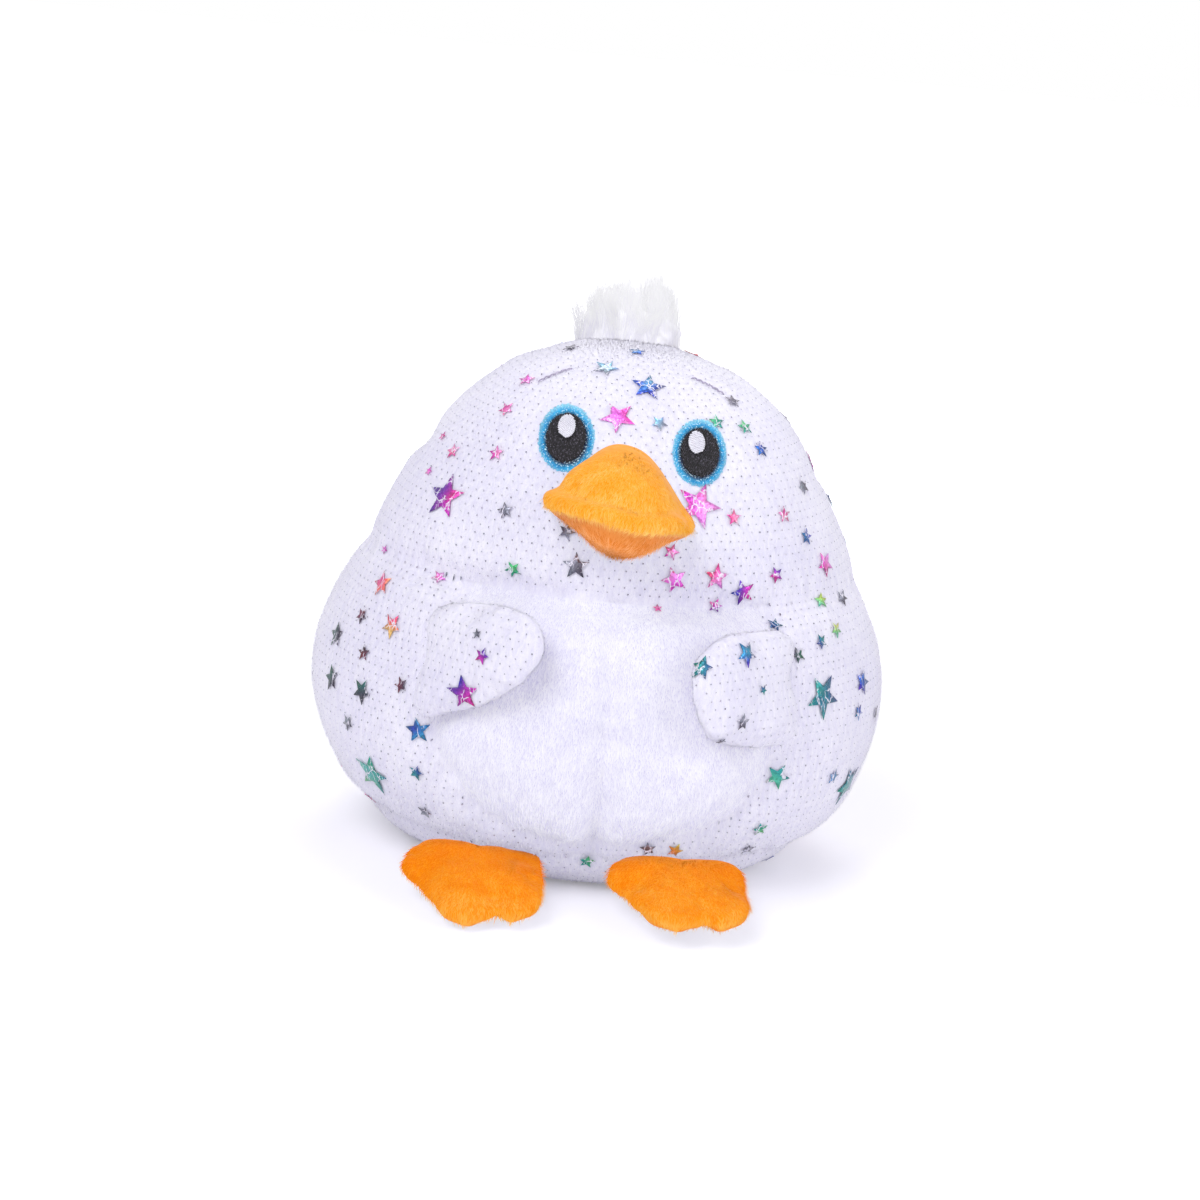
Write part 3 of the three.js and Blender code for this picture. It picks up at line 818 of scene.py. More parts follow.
brows = {
    "spacing": 36.5,
    "setback": -20.0,
    "length": 8.0,
    "tilt": 10.0,
    "furrow": 0.7,
    "furrowWidth": 1.6,
    "pitch": 1.3,  # from one stitch to the next
    "stitch": 1.5,
    "bends": 6,  # points along a stitch
    "wander": (0.22, 2.1),  # how far and how fast the row strays
    "slant": 0.3,  # across each stitch
    "rise": (0.15, 0.35),  # over the face at the ends of a stitch, and how much more at its middle
    "thread": 0.19,
}


def seamGaps(points, edge):  # distance to each seam
    x, y, z = points.T
    head, front = z > neckHeight, y < 0
    belowNeck = (z < neckHeight) & (z > seams["baseHeight"])
    far = np.full(len(points), 1e3)
    return {
        "neck": np.abs(z - neckHeight) * 1.1,
        "base": np.abs(z - seams["baseHeight"]) * 1.25,
        "crown": np.where(head, np.abs(y - seams["crownSetback"]), far),
        "back": np.where((y > seams["crownSetback"]) & (z > seams["baseHeight"]), np.abs(x), far),
        "bellyMiddle": np.where(front & belowNeck, np.abs(x), far),
        "bellyEdge": np.where(front & belowNeck, np.abs(edge), far),
    }


def eyeGap(points, side):  # distance from an eye's middle, seen from the front
    spot = eyes["spots"][side]
    return np.hypot(points[:, 0] - spot[0], points[:, 2] - spot[1])


def stuffedBody():
    points, faces = bodyGrid(bodyShape["grid"])
    coarse, coarseFaces = bodyGrid(bodyShape["coarseGrid"])
    gaps = seamGaps(coarse, bellyField(coarse))
    pullMiddle, pullReach = seams["neckPull"]
    gaps["neck"][np.abs(coarse[:, 0] - pullMiddle) > pullReach] = np.inf
    held = (np.min(list(gaps.values()), 0) < seams["heldWithin"]) | (coarse[:, 2] < seams["baseHeight"])
    move = pressedOut(coarse, coarseFaces, held, bodyShape["pressure"], bodyShape["cap"])
    start, growth = bodyShape["shrinkRise"]
    shrink = bodyShape["shrink"] * smoothStep((coarse[:, 2] - start) / growth)
    move -= normalsOf(coarse, coarseFaces) * shrink[:, None]
    return points + carried(move, coarse, coarseFaces, points, faces), faces


def dressed(points, normals):  # furrows at the seams, folds beside them and the filling's unevenness
    x, y, z = points.T
    turn = np.arctan2(x, -y)
    edge = bellyField(points)
    head, front = z > neckHeight, y < 0
    belowNeck = (z < neckHeight) & (z > seams["baseHeight"])
    runs = {
        "neck": turn * seams["neckRadius"], "base": turn * seams["baseRadius"], "crown": x, "back": z,
        "bellyMiddle": z, "bellyEdge": z - x,
    }
    amount = sum(waves(points, *wave) for wave in bodyShape["unevenness"])
    past, change = wings["ridgeEnds"]
    nearRoot = smoothStep((wings["rootWidth"] / 2 + past - np.abs(z - neckHeight + wings["rootDrop"])) / change)
    loose = {"neck": 1.0, "bellyEdge": 1 - nearRoot}  # where a seam pulls less
    for way, share, start, length in seams["neckLoose"]:
        loose["neck"] = loose["neck"] * (1 - share * smoothStep((way * x - start) / length))
    for name, gap in seamGaps(points, edge).items():
        depth, width = seams[name]
        amount -= depth * hump(gap, width) * loose.get(name, 1.0)
        amount += seams["foldHeight"] * hump(gap, seams["foldReach"]) * ripple(runs[name], seams["foldPitch"])
    inner = np.where((edge < 0) & belowNeck, np.minimum(-edge, neckHeight - z), 0)
    halves = 1 - bellyShape["middleHold"] * hump(x, bellyShape["middleReach"])
    amount += bellyShape["swell"] * (1 - hump(inner, bellyShape["swellReach"])) * halves
    for side in (1, -1):
        amount -= np.where(front, eyes["dent"] * hump(eyeGap(points, side), eyes["dentWidth"]), 0)
        slant = -side * math.radians(brows["tilt"])
        across, ahead = x - side * brows["spacing"] / 2, y - brows["setback"]
        run = across * math.cos(slant) + ahead * math.sin(slant)
        off = ahead * math.cos(slant) - across * math.sin(slant)
        reach = np.maximum(np.abs(run) - brows["length"] / 2, 0)
        amount -= np.where(head, brows["furrow"] * hump(np.hypot(off, reach), brows["furrowWidth"]), 0)
    spread = np.where(edge > 0, *wings["ridgeReach"])
    amount += np.where(front, wings["rootRidge"] * nearRoot * hump(edge, spread), 0)
    amount *= smoothStep(z / bodyShape["seatFlat"])
    moved = points + normals * amount[:, None]
    moved[:, 2] = np.maximum(moved[:, 2], bodyShape["offFloor"])
    return moved


bodyBase, bodyFaces = stuffedBody()
bodySkin = dressed(bodyBase, normalsOf(bodyBase, bodyFaces))
bodyNormals = normalsOf(bodySkin, bodyFaces)
bodyTree = treeOf(bodySkin, bodyFaces)
bodyPanels = panelsAt(centres(bodyBase, bodyFaces))
print("body cover:", len(bodySkin), "points,", len(bodyFaces), "faces")


def clearance(points):  # distance outside the body cover, less than 0 inside it
    result = np.empty(len(points))
    for i, p in enumerate(points):
        spot, normal, _, gap = bodyTree.find_nearest(Vector(p))
        result[i] = math.copysign(gap, (Vector(p) - spot).dot(normal))
    return result


def heldOff(points, want, free):  # pressed out to the wanted distance off the body, where a point is free to move
    result = np.array(points)
    for i, p in enumerate(points):
        spot, normal, _, _ = bodyTree.find_nearest(Vector(p))
        result[i] += np.array(normal) * free[i] * max(0, want[i] - (Vector(p) - spot).dot(normal))
    return result


def frontSpot(x, z):  # the cover's surface straight behind a point of the front view
    spot, normal, _, _ = bodyTree.ray_cast(Vector((x, -200, z)), Vector((0, 1, 0)))
    if spot is None or spot.y > 0:  # a ray along an edge can slip through
        spot, normal, _, _ = bodyTree.ray_cast(Vector((x + 0.03, -200, z + 0.02)), Vector((0, 1, 0)))
    return np.array(spot), np.array(normal)


def skinObject(name, points, normals, faces, nap, cover):  # an open cloth that pile can grow on
    mesh = skinMesh(name, points, faces)
    attach(mesh, "nap", unit(nap - normals * np.sum(nap * normals, 1, keepdims=True)))
    attach(mesh, "cover", cover)
    return show(name, mesh)


def underEyes(points):  # 0 where embroidery lies on the face, 1 elsewhere
    cover = np.ones(len(points))
    for side in (1, -1):
        cover[(eyeGap(points, side) < eyes["width"] / 2) & (points[:, 1] < 0)] = 0
    return cover


def bodyCloths():
    halves = [f"{part}_{side}" for part in ("head_back", "belly", "side") for side in ("left", "right")]
    renamed = {"face": ("face_panel", "body_filling"), "base": ("base_panel",)}
    for panel in ("face", *halves, "base"):
        nodes = renamed.get(panel, (panel,))
        used, faces = chosenPart([f for f, p in zip(bodyFaces, bodyPanels) if p == panel])
        mesh = clothMesh(panel, bodySkin[used], bodyNormals[used], faces, bodyShape["cloth"])
        belly = panel.startswith("belly")
        obj = show(panel + "_cloth", mesh, finishes["bellyCloth" if belly else "starCloth"])
        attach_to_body(obj, "body")
        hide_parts(*nodes)


bodyCloths()
print("body panels sewn")


# Pads: two cloths over a filling, sewn round an outline

def frameOf(origin, x, y, z):
    frameMatrix = np.eye(4)
    frameMatrix[:3, 0], frameMatrix[:3, 1], frameMatrix[:3, 2], frameMatrix[:3, 3] = x, y, z, origin
    return frameMatrix


def place(frameMatrix, points):
    return points @ frameMatrix[:3, :3].T + frameMatrix[:3, 3]


def padGrid(outline, centre, rings):  # rim, then rings up one side and down the other
    count = len(outline)
    turns = np.arange(1, rings) / rings * math.pi / 2
    half = [centre + (outline - centre) * math.cos(turn) for turn in turns] + [np.array([centre])]
    halfTurns = np.concatenate([np.repeat(turns, count), [math.pi / 2]])
    turnOf = np.concatenate([np.zeros(count), halfTurns, halfTurns])
    upper = np.repeat([0.0, 1.0, -1.0], [count, len(halfTurns), len(halfTurns)])
    faces, labels = [], []
    for sideIndex in (0, 1):
        starts = [0] + [count * (k + 1) + sideIndex * len(halfTurns) for k in range(rings)]
        for k, (low, high) in enumerate(zip(starts, starts[1:])):
            for i in range(count):
                j = (i + 1) % count
                face = (low + i, low + j, high) if k == rings - 1 else (low + i, low + j, high + j, high + i)
                faces.append(face if sideIndex == 0 else face[::-1])
                labels.append(sideIndex)
    return np.concatenate([outline] + half + half), turnOf, upper, faces, labels


def evenRise(swells, pinch):
    return lambda flat, turns, upper: np.where(upper > 0, swells[0], -swells[1]) * np.sin(turns) ** pinch


def rimDistance(points, count, rings):  # length up each spoke from the rim, for both sides
    result = np.zeros(len(points))
    half = (len(points) - count) // 2
    for sideIndex in (0, 1):
        last, total = points[:count], np.zeros(count)
        for k in range(rings - 1):
            at = count + sideIndex * half + k * count
            total = total + np.linalg.norm(points[at:at + count] - last, axis=1)
            last = points[at:at + count]
            result[at:at + count] = total
        result[count + (sideIndex + 1) * half - 1] = total.mean() + 2
    return result


def padSolid(shape, outline, centre, rise):  # rise gives the height over each point of the plan
    def form(line, count):
        flat, turns, upper, faces, labels = padGrid(line, centre, count)
        height = np.where(upper == 0, 0, rise(flat, turns, upper))
        return np.column_stack([flat, height]), upper, faces, labels

    points, upper, faces, labels = form(outline, shape["rings"])
    coarse, side, coarseFaces, _ = form(outline[::3], 7)
    move = pressedOut(coarse, coarseFaces, side == 0, shape["pressure"], shape["cap"])
    points = points + carried(move, coarse, coarseFaces, points, faces)
    return points, upper, faces, labels, rimDistance(points, len(outline), shape["rings"])


def rimFolds(rim, run, height, distance, reach, pitch):  # small folds beside a sewn rim
    return height * hump(rim - distance, reach) * ripple(run, pitch)


def raised(points, faces, upper, amount):  # moved along the normals, but not at the rim
    amount[upper == 0] = 0
    return points + normalsOf(points, faces) * amount[:, None]


def padSides(name, parts, *cloths):  # the first cloth also stands for the filling
    first, second = (f"{name}_{part}" for part in parts)
    return [(first, (first, f"{name}_filling"), cloths[0]), (second, (second,), cloths[-1])]


padCloth = 0.9  # thickness
bothSides = {"left": 1, "right": -1}


def sewPad(body, sides, frameMatrix, solid, slotName, field=None):  # a field below 0 cuts the pad away
    points, faces, labels = solid
    points = place(frameMatrix, points)
    if field:
        points, faces, labels = cutAlong(points, faces, field, labels, drop=True)
    normals = normalsOf(points, faces)
    result = {}
    for label, (part, nodes, finish) in enumerate(sides):
        used, own = chosenPart([f for f, k in zip(faces, labels) if k == label])
        mesh = clothMesh(part, points[used], normals[used], own, padCloth)
        obj = show(part + "_cloth", mesh, finishes[finish])
        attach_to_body(obj, body)
        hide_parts(*nodes)
        obj.visible_diffuse = slotName != "orange_plush"  # little of its colour reaches the white cloth
        result[part] = (points[used], normals[used], own)
    return points, faces, result


beak = {
    "height": 95.4,
    "halfWidths": {"right": 18.0, "left": 16.0},
    "reach": 25.0,
    "centre": (-2.5, 0.0),
    "swells": (15.6, 9.4),
    "droop": -4.0,
    "tilt": 3.5,
    "yaw": -12.0,
    "squareness": 2.3,
    "pinch": {"right": 2.4, "left": 2.8, "front": 1.5, "lower": 1.2},  # over 1 draws a side in at the lip
    "cornerDrop": 0.8,
    "frontRise": 1.6,  # how fast the front of the lip takes over from its corners
    "pinchChange": 30.0,  # width over which one side's pinch turns into the other's
    "lipRoll": 1.6,  # the sewn lip stands proud in front, with a furrow above it and another below
    "cornerRoll": 0.3,  # share of the roll at the corners
    "lipWidth": 4.6,
    "lipFurrow": (1.0, 1.4, 2.6),  # depth, distance from the lip, and width
    "chinFurrow": (2.0, 2.0, 3.0),
    "chinPoint": (0.55, 2.0, 15.0),  # how much flatter the chin is away from its middle, that middle, and how far
    "lipCurl": 1.3,  # how far the lip rises in front
    "curlReach": 9.0,
    "curls": ((0.9, -0.55, 0.5), (0.4, 0.0, 0.4), (-0.3, 0.35, 0.3)),  # strength, place and width of its waves
    "folds": (0.25, 3.0, 4.0, 7.5),
    "foldRadius": 16.0,  # of the lip, roughly
    "unevenness": (0.25, 9, 22),
    "offBody": 0.1,  # gap at its root
    "pressure": 2.0,
    "cap": 0.5,
    "points": 120,
    "rings": 28,
}


def makeBeak():
    turn = Matrix.Rotation(math.radians(beak["droop"]), 3, "X")
    turn = turn @ Matrix.Rotation(math.radians(beak["tilt"]), 3, "Y")
    axes = np.array(turn @ Matrix.Rotation(math.radians(beak["yaw"]), 3, "Z"))
    frameMatrix = frameOf(frontAt(0, beak["height"]), *axes.T)
    angle = np.linspace(0, 2 * math.pi, 721)
    squared = lambda v: np.sign(v) * np.abs(v) ** (2 / beak["squareness"])
    half = np.where(np.cos(angle) < 0, beak["halfWidths"]["right"], beak["halfWidths"]["left"])
    outline = np.column_stack([half * squared(np.cos(angle)), beak["reach"] * squared(np.sin(angle))])
    outline = evenly(outline, beak["points"] + 1)[:-1]
    pinch, (high, low), (flatter, chin, chinReach) = beak["pinch"], beak["swells"], beak["chinPoint"]
    aheadOf = lambda p: smoothStep(-p[:, 1] / beak["reach"] * beak["frontRise"])  # 0 at the lip's corners

    def rise(flat, turns, upper):
        leftward = smoothStep(flat[:, 0] / beak["pinchChange"] + 0.5)
        above = pinch["right"] + (pinch["left"] - pinch["right"]) * leftward
        above += (pinch["front"] - above) * aheadOf(flat)
        below = low * (1 - flatter * smoothStep(np.abs(flat[:, 0] - chin) / chinReach))
        return np.where(upper > 0, high * np.sin(turns) ** above, -below * np.sin(turns) ** pinch["lower"])

    points, upper, faces, labels, rim = padSolid(beak, outline, np.array(beak["centre"]), rise)
    across = points[:, 0] / beak["halfWidths"]["right"]
    ahead = aheadOf(points)
    corner, halfLip = beak["cornerRoll"], beak["lipWidth"] / 2
    lip = beak["lipRoll"] * (corner + (1 - corner) * ahead) * hump(rim - halfLip, halfLip)
    depth, distance, width = beak["lipFurrow"]
    lip -= depth * ahead * hump(rim - beak["lipWidth"] - distance, width)
    run = np.arctan2(points[:, 0], -points[:, 1]) * beak["foldRadius"]
    depth, distance, width = beak["chinFurrow"]
    amount = np.where(upper > 0, lip, -depth * ahead * hump(rim - distance, width))
    amount = amount + waves(points, *beak["unevenness"])
    amount += rimFolds(rim, run, *beak["folds"])
    points = raised(points, faces, upper, amount)
    curl = beak["lipCurl"] * sum(strength * hump(across - at, width) for strength, at, width in beak["curls"])
    points[:, 2] += (curl * ahead - beak["cornerDrop"] * (1 - ahead)) * hump(rim, beak["curlReach"])
    sides = padSides("beak", ("upper", "lower"), "beakCloth", "chinCloth")
    field = lambda p: clearance(p) - beak["offBody"]
    return frameMatrix, *sewPad("body", sides, frameMatrix, (points, faces, labels), "orange_plush", field)


def wingFrame(side):
    height = neckHeight - wings["rootDrop"]
    seamAt = lambda z: frontAt(side * bellyEdgeAt(z), z)
    seam = unit(seamAt(height + wings["rootWidth"] / 2) - seamAt(height - wings["rootWidth"] / 2))
    root = seamAt(height)
    outward = outwardAt(root[0], root[2])
    outward = unit(outward - seam * (outward @ seam))
    inward = np.cross(seam, outward) * -side
    opening = math.radians(wings["open"])
    along = inward * math.cos(opening) + outward * math.sin(opening)
    return frameOf(root + outward * wings["lift"], along, seam, np.cross(along, seam))


def makeWing(name, side):
    frameMatrix = wingFrame(side)
    length, rise, radius = wings[name]
    half, mid = wings["rootWidth"] / 2, length / 2
    low = bezier((0, -half), (mid, rise / 2 - half), (length, rise - radius), (length, rise), 60)
    high = bezier((length, rise), (length, rise + radius), (mid, rise / 2 + half), (0, half), 60)
    tuck = [[-wings["tuckIn"], half - 2], [-wings["tuckIn"], 2 - half], [0, -half]]
    outline = evenly(np.concatenate([low, high[1:], tuck]), wings["points"] + 1)[:-1]
    swells = (wings["outerSwell"], wings["innerSwell"])
    sides = padSides(f"wing_{name}", ("outer", "inner"), "starCloth")
    inner = -1  # the side of the pad that lies on the belly
    if side > 0:
        swells, sides, inner = swells[::-1], sides[::-1], 1
    points, upper, faces, labels, rim = padSolid(
        wings, outline, np.array([mid, rise / 2]), evenRise(swells, wings["pinch"])
    )
    run = np.arctan2(points[:, 1], points[:, 0] - mid) * wings["foldRadius"]
    amount = rimFolds(rim, run, *wings["folds"]) + waves(points, *wings["unevenness"])
    points = raised(points, faces, upper, amount)
    slope, slopeLength = wings["rimRise"]
    want = np.where(upper == inner, wings["rest"], 2 * wings["rest"] + slope * np.minimum(rim, slopeLength))
    start, growth = wings["rootRest"]
    free = smoothStep((points[:, 0] - start) / growth)  # the root stays inside the body
    solid = (heldOff(place(frameMatrix, points), want, free), faces, labels)
    return frameMatrix, *sewPad(f"wing_{name}", sides, np.eye(4), solid, "star_cloth")


feet = {
    "spacing": 48.0,
    "shift": -2.2,  # both are sewn on towards the chick's right
    "swells": (4.6, 3.0),
    "droop": {"left": 5.0, "right": 11.0},
    "lift": 0.6,
    "pinch": 0.9,
    "crest": (-1.0, -11.0),
    "outline": (
        (14.0, 0), (14.6, -8), (14.6, -19), (12.5, -27), (7.5, -31), (4.6, -29.4), (2.2, -30.4), (-2.5, -33.4),
        (-7.0, -31.5), (-11.5, -24), (-15.0, -17), (-16.2, -15.0), (-18.2, -10.5), (-17.6, -5), (-14.0, 0),
    ),
    "notches": ((4.6, -29.2, 1.0), (-15.6, -16.4, 0.6)),  # place, and strength of the crease there
    "soften": 5,  # rounds of smoothing of the outline
    "pressure": 2.0,
    "cap": 0.8,
    "folds": (0.22, 2.0, 3.0, 5.5),
    "foldRadius": 15.0,
    "foldMiddle": -14.0,
    "unevenness": (0.3, 9, 20),
    "paintedToeLight": (56.0, 20.0),  # how far in front the pile starts to pale, and over what length: painted light towards the toes, painted shade nearer the body
    "paleShares": (0.45, 0.6),  # of a fibre's own shade, and of the toes
    "creaseDepth": 0.9,
    "creaseWidth": 2.0,
    "creaseReach": 9.0,
    "creaseFade": 0.8,  # share of a crease that is gone at its end
    "toesFrom": (-6.0, 8.0),  # where the toes start, and the length of the change
    "flatten": {"left": 0.0, "right": 0.7},  # the belly presses on the inner corner of one foot
    "pressed": ((1.0, 10.0), (-17.0, 12.0)),  # across and along: where that starts, and the length it grows over
    "edgeRoll": (0.5, 2.0, 2.0),  # of the sewn edge round the toes: height, distance from the rim, and width
    "edgeFurrow": (-0.4, 5.2, 2.4),
    "points": 120,
    "rings": 20,
}


def makeFoot(name, side):
    x = side * feet["spacing"] / 2 + feet["shift"]
    root = frontAt(x, seams["baseHeight"]) + outwardAt(x, seams["baseHeight"]) * feet["lift"]
    axes = np.array(Matrix.Rotation(math.radians(feet["droop"][name]), 3, "X"))
    frameMatrix = frameOf(root, *axes.T)
    outline = evenly(np.array(feet["outline"] + feet["outline"][:1])[::-1], feet["points"] + 1)[:-1]
    for _ in range(feet["soften"]):
        outline = (np.roll(outline, 1, 0) + 2 * outline + np.roll(outline, -1, 0)) / 4
    centre = np.array(feet["crest"])
    points, upper, faces, labels, rim = padSolid(feet, outline, centre, evenRise(feet["swells"], feet["pinch"]))
    run = np.arctan2(points[:, 1] - feet["foldMiddle"], points[:, 0]) * feet["foldRadius"]
    amount = rimFolds(rim, run, *feet["folds"]) + waves(points, *feet["unevenness"])
    start, growth = feet["toesFrom"]
    ahead = smoothStep((start - points[:, 1]) / growth)
    edges = (feet["edgeRoll"], feet["edgeFurrow"])
    amount += ahead * sum(height * hump(rim - distance, width) for height, distance, width in edges)
    for *notch, strength in feet["notches"]:
        way = unit(centre - notch)
        run = np.clip((points[:, :2] - notch) @ way, 0, feet["creaseReach"])
        gap = np.linalg.norm(points[:, :2] - notch - run[:, None] * way, axis=1)
        crease = strength * feet["creaseDepth"] * hump(gap, feet["creaseWidth"])
        amount -= crease * (1 - run / feet["creaseReach"] * feet["creaseFade"])
    points = raised(points, faces, upper, amount)
    pressed = feet["flatten"][name]
    for axis, (start, growth) in enumerate(feet["pressed"]):
        pressed = pressed * smoothStep((points[:, axis] - start) / growth)
    points[:, 2] *= np.where(upper > 0, 1 - pressed, 1)
    sides = padSides(f"foot_{name}", ("top", "sole"), "footCloth")
    return frameMatrix, *sewPad(f"foot_{name}", sides, frameMatrix, (points, faces, labels), "orange_plush")


beakFrame, _, _, beakParts = makeBeak()
wingSkins = {name: makeWing(name, side) for name, side in bothSides.items()}
footSkins = {name: makeFoot(name, side) for name, side in bothSides.items()}
print("beak, wings and feet stuffed")


# Embroidery

embroidery = {
    "thread": 0.2,  # radius
    "sides": 5,
    "satin": 132,  # stitches round an eye's ring
    "rowPitch": 0.36,
    "satinStray": 0.2,  # of a stitch's place, as a share of the pitch
    "satinSlant": 0.05,
    "satinEnds": ((-0.15, 0.05), (-0.08, 0.14)),  # how far its ends miss the inner and the outer oval
    "satinRise": (1.2, 0.05),  # share of the padding's height, and the clearance over it
    "bends": 5,  # points along a stitch
    "stitchShare": 0.94,  # of a row's pitch, the rest is the gap
    "shortest": 0.4,
    "rise": (0.08, 0.1),  # of a running stitch: how uneven, and how arched
    "pad": 0.45,  # height of the padding under the stitches
    "fills": {  # plate and stitches as shares of that height, slant in degrees, and length of a stitch
        "pupil": (0.8, 0.8, 12, 2.3),
        "glint": (2.5, 2.4, 84, 6.0),
    },
}


def ovalSpot(side, x, z):  # from an eye's own upright frame to the front view
    tilt = side * math.radians(eyes["tilt"])
    return (
        eyes["spots"][side][0] + x * math.cos(tilt) - z * math.sin(tilt),
        eyes["spots"][side][1] + x * math.sin(tilt) + z * math.cos(tilt),
    )


def onFace(side, x, z, height):
    spot, normal = frontSpot(*ovalSpot(side, x, z))
    return spot + normal * height


def stitchObject(name, lines, radius, finish):  # threads along lines of points
    points, edges = [], []
    for line in lines:
        edges += [(len(points) + i, len(points) + i + 1) for i in range(len(line) - 1)]
        points += list(line)
    mesh = bpy.data.meshes.new(name)
    mesh.from_pydata((np.array(points) * mm).tolist(), edges, [])
    source = show(name + "Lines", mesh)
    made = grown(name, source, threads, Radius=radius * mm, Sides=embroidery["sides"], Material=finishes[finish])
    bpy.data.objects.remove(source)
    made.shade_smooth()
    return made


def ovalPoint(inner, outer, share, angle):  # part of the way from one oval to another
    rx, rz = (a + (b - a) * share for a, b in zip(inner, outer))
    return rx * math.cos(angle), rz * math.sin(angle)


def arch(share):  # 0 at both edges of a band, 1 along its middle
    return math.sqrt(max(1 - (2 * share - 1) ** 2, 0))


def padPlate(side, outer, inner, centre, height):  # padding under stitches: a closed plate on the face
    count, rings, below, pinhole = 56, 6, -0.5, 0.02
    shares = np.linspace(0, 1, rings)
    layers = [(s, height * (arch(s) if inner else math.sqrt(1 - s**8))) for s in shares]
    layers += [(s, below) for s in shares[::-1]]
    points, faces = [], []
    for share, level in layers:
        for angle in np.linspace(0, 2 * math.pi, count, endpoint=False):
            x, z = ovalPoint(inner or (0, 0), outer, share if inner else max(share, pinhole), angle)
            points.append(onFace(side, centre[0] + x, centre[1] + z, level))
    total = len(layers)
    for k in range(total if inner else total - 1):
        for i in range(count):
            j = (i + 1) % count
            low, high = k * count, ((k + 1) % total) * count
            faces.append((low + i, high + i, high + j, low + j))
    if not inner:
        faces += [tuple(range(count)), tuple(range(total * count - 1, (total - 1) * count - 1, -1))]
    bm = bmesh.new()
    verts = [bm.verts.new(p * mm) for p in points]
    for f in faces:
        bm.faces.new([verts[i] for i in f])
    bmesh.ops.recalc_face_normals(bm, faces=bm.faces)
    mesh = bpy.data.meshes.new("plate")
    bm.to_mesh(mesh)
    bm.free()
    mesh.shade_smooth()
    return mesh


def joined(name, meshes, finish):
    bm = bmesh.new()
    for mesh in meshes:
        bm.from_mesh(mesh)
    result = bpy.data.meshes.new(name)
    bm.to_mesh(result)
    bm.free()
    return show(name, result, finishes[finish])


def ringStitches(side, outer, inner):
    lines = []
    stray, slant, (rise, clear) = (embroidery[k] for k in ("satinStray", "satinSlant", "satinRise"))
    for i in range(embroidery["satin"]):
        angle = 2 * math.pi * (i + rng.uniform(-stray, stray)) / embroidery["satin"]
        start, end = (rng.uniform(*miss) for miss in embroidery["satinEnds"])
        line = []
        for share in np.linspace(start, 1 + end, embroidery["bends"]):
            level = embroidery["pad"] * arch(share) * rise + clear
            line.append(onFace(side, *ovalPoint(inner, outer, share, angle + slant * share), level))
        lines.append(line)
    return lines


def fillStitches(side, oval, centre, slant, level, stitch):  # rows of running stitches inside an oval
    lines, bends, (uneven, arched) = [], embroidery["bends"], embroidery["rise"]
    way = np.array([-math.sin(math.radians(slant)), math.cos(math.radians(slant))])
    for across in np.arange(-max(oval), max(oval), embroidery["rowPitch"]):
        row = across * np.array([way[1], -way[0]]) / oval  # the row's ends on the oval
        step = way / oval
        inside = (row @ step) ** 2 - (step @ step) * (row @ row - 1)
        if inside <= 0:
            continue
        low, high = ((-(row @ step) + sign * math.sqrt(inside)) / (step @ step) for sign in (-1, 1))
        start = low - rng.uniform(0, stitch) * (stitch < max(oval))
        while start < high:
            ends = max(start, low), min(start + stitch * embroidery["stitchShare"], high)
            if ends[1] - ends[0] > embroidery["shortest"]:
                spots = (row + np.linspace(*ends, bends)[:, None] * step) * oval + centre
                heights = level + uneven * rng.uniform() + arched * np.sin(math.pi * np.arange(bends) / (bends - 1))
                lines.append([onFace(side, *spot, h) for spot, h in zip(spots, heights)])
            start += stitch
    return lines


def markRing(mesh, side, outer, inner):  # share of the way from a ring's inner edge to its outer one
    tilt = side * math.radians(eyes["tilt"])
    spots = np.array([v.co for v in mesh.vertices])[:, [0, 2]] / mm - eyes["spots"][side]
    spots = spots @ np.array([[math.cos(tilt), -math.sin(tilt)], [math.sin(tilt), math.cos(tilt)]])
    reach, within = np.linalg.norm(spots / outer, axis=1), inner[0] / outer[0]
    attach(mesh, "share", (reach - within) / (1 - within))


def makeEye(name, side):
    outer = (eyes["width"] / 2, eyes["tallness"] / 2)
    inner = tuple(r - eyes["ring"] for r in outer)
    glint = tuple(w / 2 for w in eyes["glint"])
    middleSpot, glintSpot = (0, 0), eyes["glintSpot"][side]
    pad, thread = embroidery["pad"], embroidery["thread"]
    pieces = {
        "ring": ("blueThread", "blue_thread", outer, middleSpot),
        "pupil": ("blackThread", "black_thread", inner, middleSpot),
        "glint": ("whiteThread", "white_thread", glint, glintSpot),
    }
    for kind, (finish, slotName, oval, centre) in pieces.items():
        if kind == "ring":
            plate, lines = padPlate(side, oval, inner, centre, pad), ringStitches(side, oval, inner)
        else:
            plateRise, stitchRise, slant, stitch = embroidery["fills"][kind]
            plate = padPlate(side, oval, None, centre, pad * plateRise)
            lines = fillStitches(side, oval, centre, slant, pad * stitchRise, stitch)
        piece = f"eye_{name}_{kind}"
        stitches = stitchObject(piece + "_stitches", lines, thread, finish)
        obj = joined(piece + "_embroidery", [plate, stitches], finish)
        if kind == "ring":
            markRing(obj.data, side, outer, inner)
        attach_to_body(obj, "body")
        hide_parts(piece)


def topSpot(x, y):  # the cover's surface straight below a point of the top view
    return bodyTree.ray_cast(Vector((x, y, 300)), Vector((0, 0, -1)))[:2]


